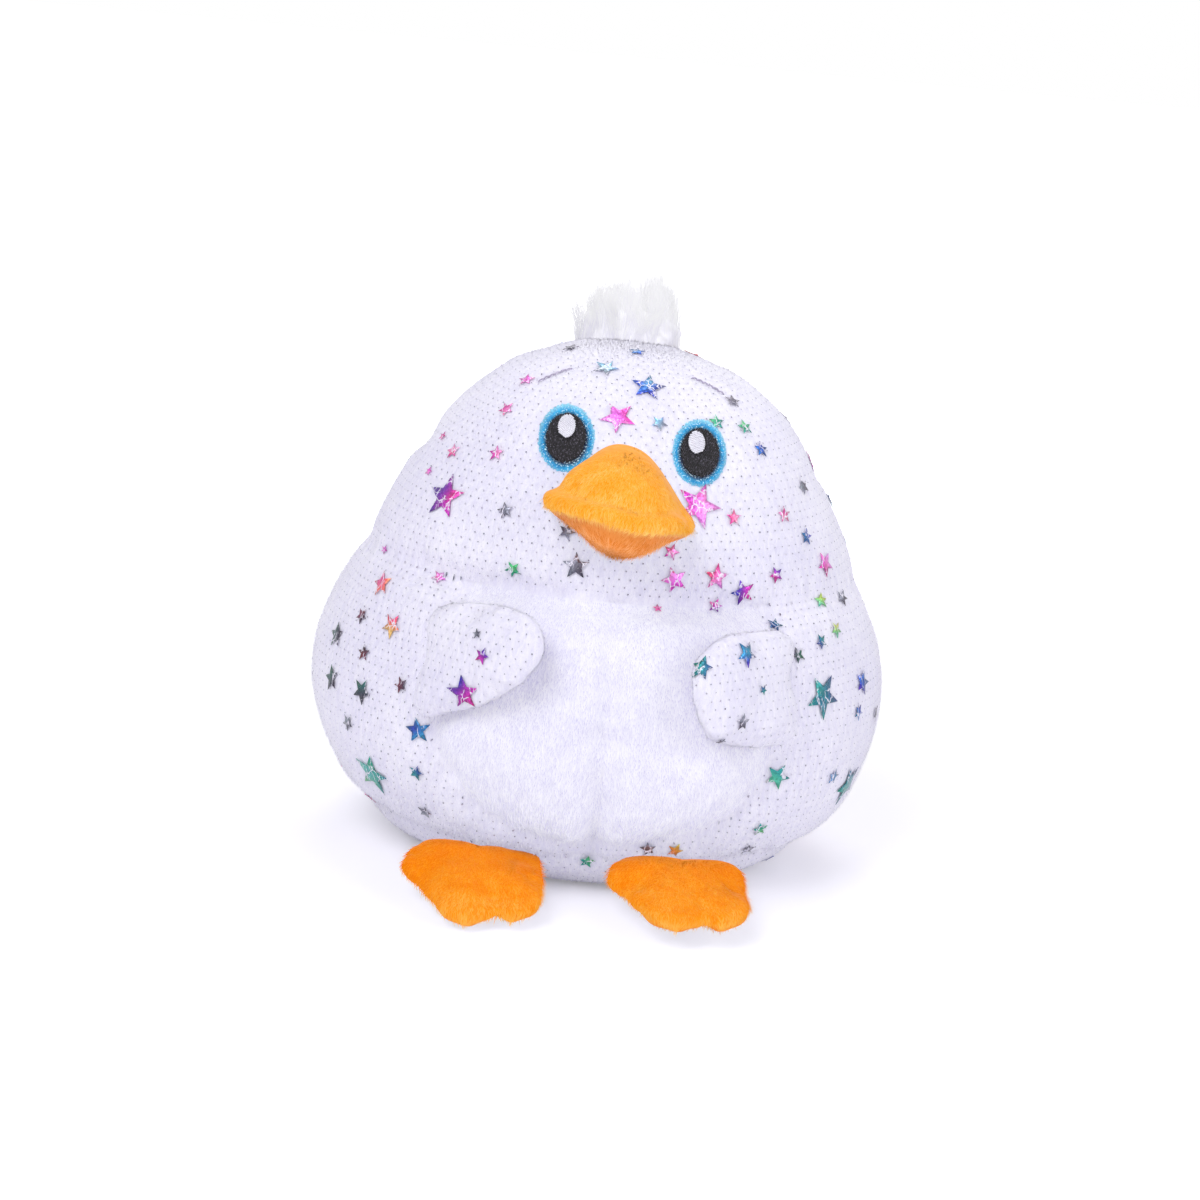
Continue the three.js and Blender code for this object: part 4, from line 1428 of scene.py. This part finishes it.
def makeBrow(name, side):
    slant = -side * math.radians(brows["tilt"])
    lines, (stray, pace), (level, arched) = [], brows["wander"], brows["rise"]
    for start in np.arange(-brows["length"] / 2, brows["length"] / 2 - 0.5, brows["pitch"]):
        line = []
        for share in np.linspace(0, 1, brows["bends"]):
            run = start + brows["stitch"] * share
            off = stray * math.sin(start * pace) + brows["slant"] * (share - 0.5)
            x = side * brows["spacing"] / 2 + run * math.cos(slant) - off * math.sin(slant)
            y = brows["setback"] + run * math.sin(slant) + off * math.cos(slant)
            spot, normal = topSpot(x, y)
            line.append(np.array(spot + normal * (level + arched * math.sin(math.pi * share))))
        lines.append(line)
    piece = f"brow_{name}"
    obj = show(piece + "_stitches", stitchObject(piece, lines, brows["thread"], "lilacThread"))
    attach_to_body(obj, "body")
    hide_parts(piece)


for name, side in bothSides.items():
    makeEye(name, side)
    makeBrow(name, side)
print("eyes and brows embroidered")


# Foil print: rows of dots, and stars in many colours

foilColours = {
    "violet": "#5B2A9E", "magenta": "#C42C9A", "pink": "#E58CC8", "red": "#D8474F", "maroon": "#7A3348",
    "green": "#4FB07E", "darkGreen": "#1F5A50", "teal": "#1D8A88", "blue": "#2E5FC0", "lightBlue": "#7FB0E0",
    "navy": "#2A4A86", "grey": "#8A8C9C", "black": "#3C3648", "gold": "#C9BE58", "copper": "#DDA06E",
}
runsInto = {
    "violet": "magenta", "magenta": "pink", "pink": "magenta", "red": "copper", "maroon": "black",
    "green": "teal", "darkGreen": "black", "teal": "navy", "blue": "navy", "lightBlue": "grey",
    "navy": "teal", "grey": "black", "black": "grey", "gold": "green", "copper": "gold",
}
foil = {
    "dotPitch": 2.3,
    "rowPitch": 2.0,
    "dotRadius": 0.2,
    "dotLift": 0.32,
    "starLift": 0.45,
    "starThickness": 0.12,
    "waist": 0.42,  # a star's inner radius as a share of its outer one
    "sizes": {"L": 11.5, "B": 8.8, "M": 6.6, "S": 4.2, "T": 2.4},
    "spacing": 5.225,  # least gap between the stars that the photograph doesn't show
    "unseen": 150,
    "tries": 6000,
    "unseenHeights": (0.04, 0.98),  # shares of the way up the profile
    "unseenSizes": ("L", "M", "M", "S", "S", "S", "T"),
    "outOfSight": -0.15,  # how far a place has to face away from the lens
    "bands": "magenta red maroon darkGreen green teal blue navy violet pink grey gold".split(),
    "bandRun": (2.2, 45.0, 0.12),  # of those colours: round the body, up it, and their stray
    "colourRun": 0.75,  # how sharply a star's colour turns into the next
    "dotStray": 0.06,
    "wingRows": ((-2, 34), (-16, 20)),  # along a wing and across it, in its own frame
    "wingAbove": 20.0,
    "bareRound": 0.9,  # no dot lies nearer to a star than this share of its radius
    "dotColours": ("#918EA2", "#A9A6BA", "#838197", "#BAB4CC"),
    "dotSizes": (0.75, 1.15),
}
# Where each star shows in the photograph, in pixels
bodyStars = """
571,349 grey S; 637,353 blue S; 606,369 lightBlue M; 648,388 blue B; 618,418 magenta B; 659,424 lightBlue S
527,381 pink S; 507,410 pink S; 497,454 magenta S; 454,452 magenta S; 444,437 pink T; 430,472 magenta T
446,497 violet L; 506,511 black S; 567,532 black S; 513,569 green S; 576,566 grey M; 383,584 red M
440,578 magenta S; 386,550 pink T; 363,616 maroon S; 393,626 red M; 444,625 magenta S; 338,635 darkGreen M
365,653 maroon S; 447,654 red T; 333,678 darkGreen M; 363,691 darkGreen M; 402,685 maroon S; 349,722 grey S
418,730 blue M; 373,773 green L; 417,772 teal S; 426,811 grey S; 698,506 magenta L; 733,518 magenta S
671,552 magenta S; 674,580 magenta M; 716,577 pink M; 742,592 violet M; 714,606 violet S; 775,575 violet S
657,609 pink T; 824,564 pink M; 783,515 pink S; 760,450 blue S; 744,428 green S; 716,423 green S
732,402 black S; 802,487 grey S; 805,537 blue S; 820,601 gold S; 841,598 grey S; 835,630 gold S
820,642 teal S; 774,626 teal S; 797,655 darkGreen S; 822,696 teal L; 861,682 blue M; 857,712 blue S
874,713 grey S; 788,724 teal S; 777,776 green M; 832,776 blue S; 846,784 navy L; 759,828 green S
747,848 grey S; 675,850 copper S; 648,848 grey S; 587,861 green S
"""
wingStars = {
    "right": "483,656 violet S; 464,693 violet B; 478,634 grey T",
    "left": "746,654 blue M; 702,668 navy M; 742,722 grey S; 721,740 grey T; 762,690 teal T",
}


def starShape():  # a thin five-pointed plate of unit radius
    angle = math.pi / 2 + np.arange(10) * math.pi / 5
    radius = np.where(np.arange(10) % 2, foil["waist"], 1.0)
    outer = np.column_stack([radius * np.cos(angle), radius * np.sin(angle), np.zeros(10)])
    high = np.array([0, 0, foil["starThickness"]])
    points = np.concatenate([[high], outer * 0.5 + high, outer + high, outer, [[0, 0, 0]]])
    faces = []
    for i in range(10):
        j = (i + 1) % 10
        faces += [(0, 1 + i, 1 + j), (1 + i, 11 + i, 11 + j, 1 + j)]
        faces += [(11 + i, 21 + i, 21 + j, 11 + j), (31, 21 + j, 21 + i)]
    return show("starShape", skinMesh("starShape", points / mm, faces)), points, points[:, 2] + foil["starLift"]


def dotShape():  # a low five-sided bead
    angle = np.arange(5) * 2 * math.pi / 5
    rim = np.column_stack([np.cos(angle), np.sin(angle), np.zeros(5)])
    points = np.concatenate([rim, [[0, 0, 0.25]]])
    faces = [(i, (i + 1) % 5, 5) for i in range(5)] + [(4, 3, 2, 1, 0)]
    heights = points[:, 2] * foil["dotRadius"] + foil["dotLift"]
    return show("dotShape", skinMesh("dotShape", points / mm, faces)), points, heights


def pointObject(name, points, aims, turns, sizes):
    mesh = bpy.data.meshes.new(name)
    mesh.from_pydata((np.array(points) * mm).tolist(), [], [])
    attach(mesh, "aim", aims)
    attach(mesh, "turn", turns)
    attach(mesh, "grow", sizes)
    return show(name, mesh)


def conformed(mesh, tree, heights):  # lays every copy of a shape on the cloth below it
    points = vectorsOf(mesh.vertices).astype(float) / mm
    for i, level in enumerate(np.tile(heights, len(points) // len(heights))):
        spot, normal, _, _ = tree.find_nearest(Vector(points[i]))
        points[i] = spot + normal * level
    mesh.vertices.foreach_set("co", (points * mm).astype(np.float32).ravel())
    mesh.update()


def printFoil(name, body, tree, spots, colours, shape):  # each spot is a point, an aim and a radius
    shapeObject, corners, heights = shape
    points, aims, radii = ([spot[k] for spot in spots] for k in range(3))
    sizes = np.repeat(np.array(radii)[:, None], 3, 1) * mm
    source = pointObject(name + "Points", points, aims, rng.uniform(0, 2 * math.pi, len(spots)), sizes)
    mesh = grown(name, source, setOnPoints, Shape=shapeObject, Material=finishes["starFoil"])
    bpy.data.objects.remove(source)
    conformed(mesh, tree, heights)
    way = rng.uniform(0, 2 * math.pi, (len(spots), 1))  # the colour runs across each star in its own direction
    run = np.cos(way) * corners[:, 0] + np.sin(way) * corners[:, 1]
    run = smoothStep(0.5 + foil["colourRun"] * run)[:, :, None]
    first, second = (np.array(colours, float)[:, None, k] for k in (0, 1))
    shades = (first * (1 - run) + second * run).ravel()
    mesh.attributes.new("foil", "FLOAT_COLOR", "POINT").data.foreach_set("color", shades)
    obj = show(name, mesh)
    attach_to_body(obj, body)


star, dot = starShape(), dotShape()


def listedStars(text, tree):
    spots = []
    for entry in text.replace("\n", ";").split(";"):
        if entry.strip():
            pixel, colour, size = entry.split()
            x, y = (float(v) for v in pixel.split(","))
            spot, normal, _, _ = tree.ray_cast(*pixelRay(x, y))
            if spot:
                spots.append((np.array(spot), np.array(normal), foil["sizes"][size] / 2, colour))
    return spots


def unseenStars(known):  # scattered over the cloth that the photograph doesn't show
    found, bands, (turnRun, riseRun, stray) = [], foil["bands"], foil["bandRun"]
    for _ in range(foil["tries"]):
        if len(found) >= foil["unseen"]:
            break
        turn, along = rng.uniform(-math.pi, math.pi), rng.uniform(*foil["unseenHeights"]) * profileLength[-1]
        if rng.uniform() > np.interp(along, profileLength, profile[:, 0]) / (bodyShape["width"] / 2):
            continue
        p = onBody(turn, along)
        panel = panelsAt(p[None])[0]
        spot, normal, _, _ = bodyTree.find_nearest(Vector(p))
        seen = normal.dot(Vector(unit(eyePoint - p))) > foil["outOfSight"]
        if panel.startswith("belly") or seen:
            continue
        radius = foil["sizes"][rng.choice(foil["unseenSizes"])] / 2
        if all(np.linalg.norm(s[0] - p) > foil["spacing"] + s[2] + radius for s in known + found):
            band = turn / math.pi * turnRun + p[2] / riseRun + rng.uniform(-stray, stray)
            colour = bands[int(band * len(bands) / 2) % len(bands)]
            found.append((np.array(spot), np.array(normal), radius, colour))
    return found


def dotsOnBody():
    zones = {
        "face": 0, "side_left": 95, "side_right": -95, "head_back_left": 180, "head_back_right": 180, "base": 0,
    }
    points = []
    for panel, facing in zones.items():
        facing = math.radians(facing)
        for row, along in enumerate(np.arange(1.0, profileLength[-1] - 1, foil["rowPitch"])):
            radius = np.interp(along, profileLength, profile[:, 0]) * (1 + depthShare) / 2
            reach = math.pi * radius
            shift = foil["dotPitch"] / 2 if row % 2 else 0
            across = np.arange(-int(reach / foil["dotPitch"]), reach / foil["dotPitch"]) * foil["dotPitch"] + shift
            across = across[np.abs(across) < reach]
            spots = onBody(facing + across / max(radius, 0.1), np.full(len(across), along))
            if len(spots):
                points.append(spots[panelsAt(spots) == panel])
    points = np.concatenate(points)
    points = points[underEyes(points) > 0]
    return points + rng.normal(scale=foil["dotStray"], size=points.shape)


def printStars(name, body, tree, stars):  # each in its colour and the one it runs into
    colours = [(tint(foilColours[colour]), tint(foilColours[runsInto[colour]])) for *_, colour in stars]
    printFoil(name, body, tree, stars, colours, star)


def printDots(name, body, tree, spots):  # each spot is a point and an aim
    radii = foil["dotRadius"] * rng.uniform(*foil["dotSizes"], len(spots))
    shades = np.array([tint(code) for code in foil["dotColours"]])
    colours = np.repeat(shades[rng.integers(0, len(shades), len(spots))][:, None], 2, 1)
    printFoil(name, body, tree, [(*spot, radius) for spot, radius in zip(spots, radii)], colours, dot)


def bareRound(stars, points):  # which points no star covers
    bare = np.ones(len(points), bool)
    for spot, _, radius, _ in stars:
        bare &= np.linalg.norm(points - spot, axis=1) > radius * foil["bareRound"]
    return bare


def printBody():
    stars = listedStars(bodyStars, bodyTree)
    stars += unseenStars(stars)
    printStars("body_stars", "body", bodyTree, stars)
    points = dotsOnBody()
    spots = [(p, np.array(bodyTree.find_nearest(Vector(p))[1])) for p in points[bareRound(stars, points)]]
    printDots("body_dots", "body", bodyTree, spots)
    return len(stars), len(spots)


def printWing(name):
    body = f"wing_{name}"
    frameMatrix, points, faces, _ = wingSkins[name]
    tree = treeOf(points, faces)
    stars = listedStars(wingStars[name], tree)
    printStars(body + "_stars", body, tree, stars)
    spots, above, (along, across) = [], foil["wingAbove"], foil["wingRows"]
    for facing in (1, -1):
        for row, y in enumerate(np.arange(*across, foil["rowPitch"])):
            for x in np.arange(*along, foil["dotPitch"]) + (foil["dotPitch"] / 2 if row % 2 else 0):
                start = place(frameMatrix, np.array([[x, y, above * facing]]))[0]
                spot, normal, _, _ = tree.ray_cast(Vector(start), Vector(-frameMatrix[:3, 2] * facing), above)
                if spot and bareRound(stars, np.array([spot]))[0]:
                    spots.append((np.array(spot), np.array(normal)))
    printDots(body + "_dots", body, tree, spots)


print("foil print:", printBody())
for name in bothSides:
    printWing(name)


# Pile and fur

piles = {  # fibres per square millimetre, length, width, lean along the nap, stray
    "star": (2.2, 1.0, 0.06, 1.0, 0.5),
    "belly": (6.0, 1.9, 0.06, 2.4, 0.6),
    "beak": (10.0, 2.4, 0.08, 2.4, 0.75),
    "foot": (9.0, 2.6, 0.085, 2.4, 0.8),
}
pileEdges = {
    "below": (0.7, 2.5, 3.0),  # share under a pad, bare distance from its seam, and the length of the change
    "body": (0.9, 1.2),  # bare distance from the body, and the length of the change
    "crest": {"foot": 0.12, "beak": -0.1},  # how far back the cloth may face before it is bare
    "crestChange": 0.2,
}
bodyNap = {"way": (0, -0.25, -1.0), "spread": (0.006, 0.006, 0), "bareBelow": 1.2}  # down, a little outwards
napFrom = {"beak": (0, 34.0, 46.0), "wing": (-4.0, 12, 0), "foot": (0, 40.0, 24.0)}  # in a pad's own frame
fibreLight = {  # what turns a fibre's flat, what turns its shading, and how far back that may face
    "star_cloth": ((0, 0, 0), (0, -0.1, 0.3), 2.0),
    "belly_plush": ((0, 0, 0), (0, -0.1, 0.3), 2.0),
    "orange_plush": ((0, -0.6, 0.4), (0, -0.5, 0.45), -0.45),  # near a crease it still faces forward
}


def fibreShape():  # a flat blade of unit height with a low ridge on the side that faces out
    points = np.array([[0, -1, 0], [0.4, 0, 0.1], [0, 1, 0], [0, 0, 1.0]])
    mesh = skinMesh("fibre", points / mm, [(0, 1, 3), (1, 2, 3), (2, 0, 3), (0, 2, 1)])
    attach(mesh, "tip", points[:, 2] == 1)
    return show("fibre", mesh)


fibre = fibreShape()


def softNormals(mesh, lift, back):  # fibres take the light as the cloth under them does
    facing = vectorsOf(mesh.attributes["facing"].data, "vector") + lift
    facing[:, 1] = np.minimum(facing[:, 1], back)
    facing[:, 2] = np.maximum(facing[:, 2], 0.1)
    mesh.shade_smooth()
    mesh.normals_split_custom_set_from_vertices(unit(facing).tolist())


def paintedToeLight(mesh):  # painted shade and light: the pile is coloured deeper near the body and paler towards the toes
    layer = mesh.attributes["shade"].data
    own = np.empty(len(layer), np.float32)
    layer.foreach_get("value", own)
    start, length = feet["paintedToeLight"]
    toes = np.clip((-vectorsOf(mesh.vertices)[:, 1] / mm - start) / length, 0, 1)
    ownShare, toeShare = feet["paleShares"]
    layer.foreach_set("value", (ownShare * own + toeShare * toes).astype(np.float32))


def growPile(name, body, slotName, kind, finish, skins, seed):
    meshes = []
    front, lift, back = fibreLight[slotName]
    density, length, width, lean, stray = piles[kind]
    for source in skins:
        meshes.append(grown(
            name, source, pile, Fibre=fibre, Density=density / mm**2, Length=length * mm, Width=width * mm,
            Lean=lean, Jitter=stray, Front=front, Seed=seed, Material=finishes[finish],
        ))
        softNormals(meshes[-1], lift, back)
        if kind == "foot":
            paintedToeLight(meshes[-1])
        bpy.data.objects.remove(source)
    obj = show(name, meshes[0])
    for extra in meshes[1:]:
        other = show(name + "Part", extra)
        with bpy.context.temp_override(active_object=obj, selected_editable_objects=[obj, other]):
            bpy.ops.object.join()
    obj.visible_shadow = obj.visible_diffuse = False  # fine fibres let the light through
    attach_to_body(obj, body)


def bodyPile(name, panels, kind, finish, slotName, seed):
    used, faces = chosenPart([f for f, p in zip(bodyFaces, bodyPanels) if p in panels])
    points, normals = bodySkin[used], bodyNormals[used]
    nap = np.array(bodyNap["way"]) + points * bodyNap["spread"]
    cover = underEyes(points) * (points[:, 2] > bodyNap["bareBelow"])
    skin = skinObject(name + "Skin", points, normals, faces, nap, cover)
    growPile(name, "body", slotName, kind, finish, [skin], seed)


def padPile(name, body, parts, kind, finish, slotName, origin, seed):
    skins = []
    for part, (points, normals, faces) in parts.items():
        cover = np.ones(len(points))
        if part.endswith(("sole", "lower")):  # thinner below, and bare beside the seam
            edges = {(a, b) for f in faces for a, b in zip(f, f[1:] + f[:1])}
            rim = points[[a for a, b in edges if (b, a) not in edges]]
            gap = np.min(np.linalg.norm(points[:, None] - rim[None], axis=2), 1)
            share, bare, change = pileEdges["below"]
            cover = share * smoothStep((gap - bare) / change)
        bare, change = pileEdges["body"]
        cover *= smoothStep((clearance(points) - bare) / change)
        if slotName == "orange_plush":  # bare behind a crest, where fibres would show their undersides
            cover *= smoothStep((pileEdges["crest"][kind] - normals[:, 1]) / pileEdges["crestChange"])
        skins.append(skinObject(part + "Skin", points, normals, faces, points - origin, cover))
    growPile(name, body, slotName, kind, finish, skins, seed)


bodyPile("face_pile", ("face",), "star", "starPile", "star_cloth", 3)
bodyPile("head_back_pile", ("head_back_left", "head_back_right"), "star", "starPile", "star_cloth", 4)
bodyPile("side_pile", ("side_left", "side_right", "base"), "star", "starPile", "star_cloth", 5)
bodyPile("belly_pile", ("belly_left", "belly_right"), "belly", "bellyPile", "belly_plush", 6)
for part, finish in (("beak_upper", "beakPile"), ("beak_lower", "chinPile")):
    origin = place(beakFrame, np.array([napFrom["beak"]]))
    padPile(part + "_pile", "body", {part: beakParts[part]}, "beak", finish, "orange_plush", origin, 7)
for i, name in enumerate(bothSides):
    frameMatrix, _, _, parts = wingSkins[name]
    origin = place(frameMatrix, np.array([napFrom["wing"]]))
    padPile(f"wing_{name}_pile", f"wing_{name}", parts, "star", "starPile", "star_cloth", origin, 8 + i)
    frameMatrix, _, _, parts = footSkins[name]
    origin = place(frameMatrix, np.array([napFrom["foot"]]))
    padPile(f"foot_{name}_pile", f"foot_{name}", parts, "foot", "footPile", "orange_plush", origin, 10 + i)
print("pile grown")

tuft = {
    "width": 26.0,
    "depth": 9.0,
    "height": 13.0,  # of the dense part
    "strands": 6400,
    "length": 17.0,
    "thickness": 0.065,
    "fan": -5.0,  # degrees that the outer strands lean to the sides
    "splay": 12.0,
    "locks": 44,
    "lockLengths": (0.8, 1.16),  # shares of the length, of a whole lock
    "ownLengths": (0.8, 1.08),  # and of each strand in it
    "stray": 0.14,
    "ownStray": 0.06,
    "lockDepth": 0.3,  # how much the depth counts beside the width, when a strand takes its lock
    "edgeShorter": (0.35, 0.4),  # share of the length lost at the sides, and what of that in front and behind
    "curl": 9.0,  # how far a lock's tips bend over
    "ownCurl": 0.8,
    "spread": (0.4, 1.2, 0),  # how far the outer tips bend outwards
    "lit": ((1, 1.6, 1), (0, -0.35, 0.6)),  # stretch and lean of the shading
    "core": (0.46, 0.5, 1.0),  # the matted roots, as shares of width, depth and height
    "coreGrid": 22,
    "coreSink": 2.0,
    "coreTaper": (0.96, 0.12),
    "coreLumps": ((0.7, 3.5, 8), (0.3, 1.5, 3)),  # height, shortest and longest wave
}


def strandShape():  # a tapering hair of unit height, with three sides
    rows, points, faces = 6, [], []
    for share in np.linspace(0, 1, rows):
        for a in np.arange(3) * 2 * math.pi / 3:
            width = 1 - 0.8 * share
            points.append((width * math.cos(a), width * math.sin(a), share))
    for k in range(0, 3 * rows - 3, 3):
        for i in range(3):
            j = (i + 1) % 3
            faces.append((k + i, k + j, k + 3 + j, k + 3 + i))
    faces += [(2, 1, 0), (3 * rows - 3, 3 * rows - 2, 3 * rows - 1)]
    points = np.array(points)
    mesh = skinMesh("strand", points / mm, faces)
    attach(mesh, "tip", points[:, 2])
    return show("strand", mesh), points[:, 2]


def crownSpot(x, y):
    return np.array(topSpot(x, seams["crownSetback"] + y)[0])


def tuftCore():  # the matted roots, a lumpy pad on the crown
    ball, quads = roundGrid(tuft["coreGrid"])
    upright = 0.5 + 0.5 * ball[:, 2]
    wide, deep, high = np.array(tuft["core"]) * (tuft["width"], tuft["depth"], tuft["height"])
    points = np.column_stack([ball[:, 0] * wide, ball[:, 1] * deep, upright * high - tuft["coreSink"]])
    taper, growth = tuft["coreTaper"]
    points[:, :2] *= taper + growth * ball[:, 2:3]
    faces = [tuple(q) for q in quads.tolist()]
    lumps = sum(waves(points, *lump) for lump in tuft["coreLumps"])
    points += normalsOf(points, faces) * lumps[:, None]
    points += crownSpot(0, 0)
    mesh = skinMesh("tuftCore", points, faces)
    # painted shade: the lower part of the matted roots takes the darker root colour
    attach(mesh, "tip", np.clip(upright * 0.8, 0, 1))
    attach(mesh, "shade", np.full(len(points), 0.5))
    return mesh


def makeTuft():
    locks = rng.uniform(-1, 1, (tuft["locks"], 2))
    bends = rng.normal(scale=tuft["stray"], size=(tuft["locks"], 3))
    long = rng.uniform(*tuft["lockLengths"], tuft["locks"])
    shorter, front = tuft["edgeShorter"]
    points, aims, sizes, sways = [], [], [], []
    while len(points) < tuft["strands"]:
        x, y = rng.uniform(-1, 1, 2)
        if x * x + y * y > 1:
            continue
        lock = np.argmin((locks[:, 0] - x) ** 2 + tuft["lockDepth"] * (locks[:, 1] - y) ** 2)
        lean, splay = math.radians(tuft["fan"]) * x, math.radians(tuft["splay"]) * y
        aim = np.array([math.sin(lean), math.sin(splay), math.cos(lean)]) + bends[lock] * (1, 1, 0)
        points.append(crownSpot(x * tuft["width"] / 2, y * tuft["depth"] / 2))
        aims.append(unit(aim + rng.normal(scale=tuft["ownStray"], size=3)))
        size = tuft["length"] * long[lock] * rng.uniform(*tuft["ownLengths"])
        size *= 1 - shorter * (x**4 + front * y * y)
        sizes.append((tuft["thickness"] * mm, tuft["thickness"] * mm, size * mm))
        own = rng.normal(scale=tuft["ownCurl"], size=3)
        sways.append(bends[lock] * tuft["curl"] + own + np.array(tuft["spread"]) * (x, y, 0))
    hair, shares = strandShape()
    source = pointObject("tuftRoots", points, aims, rng.uniform(0, 2 * math.pi, len(points)), sizes)
    mesh = grown("tuftHair", source, setOnPoints, Shape=hair, Material=finishes["tuftFur"])
    bpy.data.objects.remove(source)
    bend = np.tile(shares, len(points)) ** 2  # tips curl over
    bent = vectorsOf(mesh.vertices) / mm + np.repeat(sways, len(shares), 0) * bend[:, None]
    mesh.vertices.foreach_set("co", (bent * mm).astype(np.float32).ravel())
    attach(mesh, "shade", np.repeat(rng.uniform(0, 1, len(points)), len(shares)))
    obj = joined("head_tuft_fur", [tuftCore(), mesh], "tuftFur")
    middleSpot = crownSpot(0, 0) + (0, 0, 1)
    stretch, lean = tuft["lit"]
    facing = unit((vectorsOf(obj.data.vertices) / mm - middleSpot) * stretch) + lean
    obj.data.shade_smooth()
    obj.data.normals_split_custom_set_from_vertices(unit(facing).tolist())
    obj.visible_shadow = obj.visible_diffuse = False
    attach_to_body(obj, "tuft")
    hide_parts("head_tuft")


makeTuft()
for helper in ("starShape", "dotShape", "fibre", "strand"):
    bpy.data.objects.remove(bpy.data.objects[helper])
print("tuft grown")


# Studio

studio = {
    "floor": 6.0,  # metres along each side
    "paper": ("#F1F0F4", "#F6F5F8"),
    "glow": (0.12, 0.5, 0.2, 1.0),  # near and far from the chick in metres, and the paper's own light there
    "fill": 0.5,  # strength of the even light from all round
    "fillColour": (0.93, 0.93, 1.0, 1),
    "lamps": {  # place, size in metres, watts
        "key": ((-0.55, -0.75, 0.95), 0.7, 7.2),
        "side": ((0.85, -0.55, 0.55), 0.7, 3.4),
        "top": ((0.1, 0.5, 0.95), 0.6, 3.0),
        "low": ((0.05, -1.1, 0.12), 0.8, 1.0),
    },
}


def makeStudio():
    corners = np.array([[-1, -1, 0], [1, -1, 0], [1, 1, 0], [-1, 1, 0]]) * studio["floor"] / 2
    floor = show("floor", skinMesh("floor", corners / mm, [(0, 1, 2, 3)]))
    finish, tree, shader = newFinish("floorPaper", roughness=0.9)
    deep, light = (tint(code) for code in studio["paper"])
    grain = noise(tree, ownSpace(tree), scale=300.0)
    join(tree, ramp(tree, grain, (0, deep), (1, light)), shader.inputs["Base Color"])
    floor.data.materials.append(finish)
    away = put(tree, "ShaderNodeVectorMath", {0: ownSpace(tree)}, operation="LENGTH").outputs["Value"]
    far = mapped(tree, away, *studio["glow"], interpolation_type="SMOOTHSTEP")
    glow = put(tree, "ShaderNodeEmission", {"Strength": far})
    added = put(tree, "ShaderNodeAddShader", {0: shader.outputs[0], 1: glow.outputs[0]})
    seen = put(tree, "ShaderNodeLightPath").outputs["Is Camera Ray"]
    mixed = put(tree, "ShaderNodeMixShader", {0: seen, 1: shader.outputs[0], 2: added.outputs[0]})
    output = next(n for n in tree.nodes if n.type == "OUTPUT_MATERIAL")
    join(tree, mixed.outputs[0], output.inputs[0])
    world = bpy.data.worlds.new("studio")
    world.use_nodes = True
    scene.world = world
    tree = world.node_tree
    tree.nodes.clear()
    light = put(tree, "ShaderNodeLightPath").outputs
    seen = maths(tree, "MAXIMUM", light["Is Camera Ray"], light["Is Glossy Ray"])
    seen = maths(tree, "MAXIMUM", seen, light["Is Transmission Ray"])
    soft = put(tree, "ShaderNodeBackground", {"Color": studio["fillColour"], "Strength": studio["fill"]})
    white = put(tree, "ShaderNodeBackground", {"Color": (1, 1, 1, 1), "Strength": 1.0})
    both = put(tree, "ShaderNodeMixShader", {0: seen, 1: soft.outputs[0], 2: white.outputs[0]})
    put(tree, "ShaderNodeOutputWorld", {0: both.outputs[0]})
    for name, (spot, size, power) in studio["lamps"].items():
        lamp = bpy.data.lights.new(name, "AREA")
        lamp.size, lamp.energy = size, power
        obj = bpy.data.objects.new(name, lamp)
        obj.location = spot
        aim = Vector((0, 0, photo["aimHeight"] * mm)) - Vector(spot)
        obj.rotation_euler = aim.to_track_quat("-Z", "Y").to_euler()
        scene.collection.objects.link(obj)
    camera = bpy.data.objects.new("camera", bpy.data.cameras.new("camera"))
    camera.data.sensor_width = photo["sensor"]
    camera.data.lens = photo["sensor"] * focalPixels / photo["size"]
    camera.data.clip_start, camera.data.clip_end = 0.01, 20
    camera.matrix_world = Matrix(frameOf(eyePoint * mm, cameraRight, cameraUp, cameraBack).tolist())
    scene.collection.objects.link(camera)
    scene.camera = camera


makeStudio()
print("studio lit")
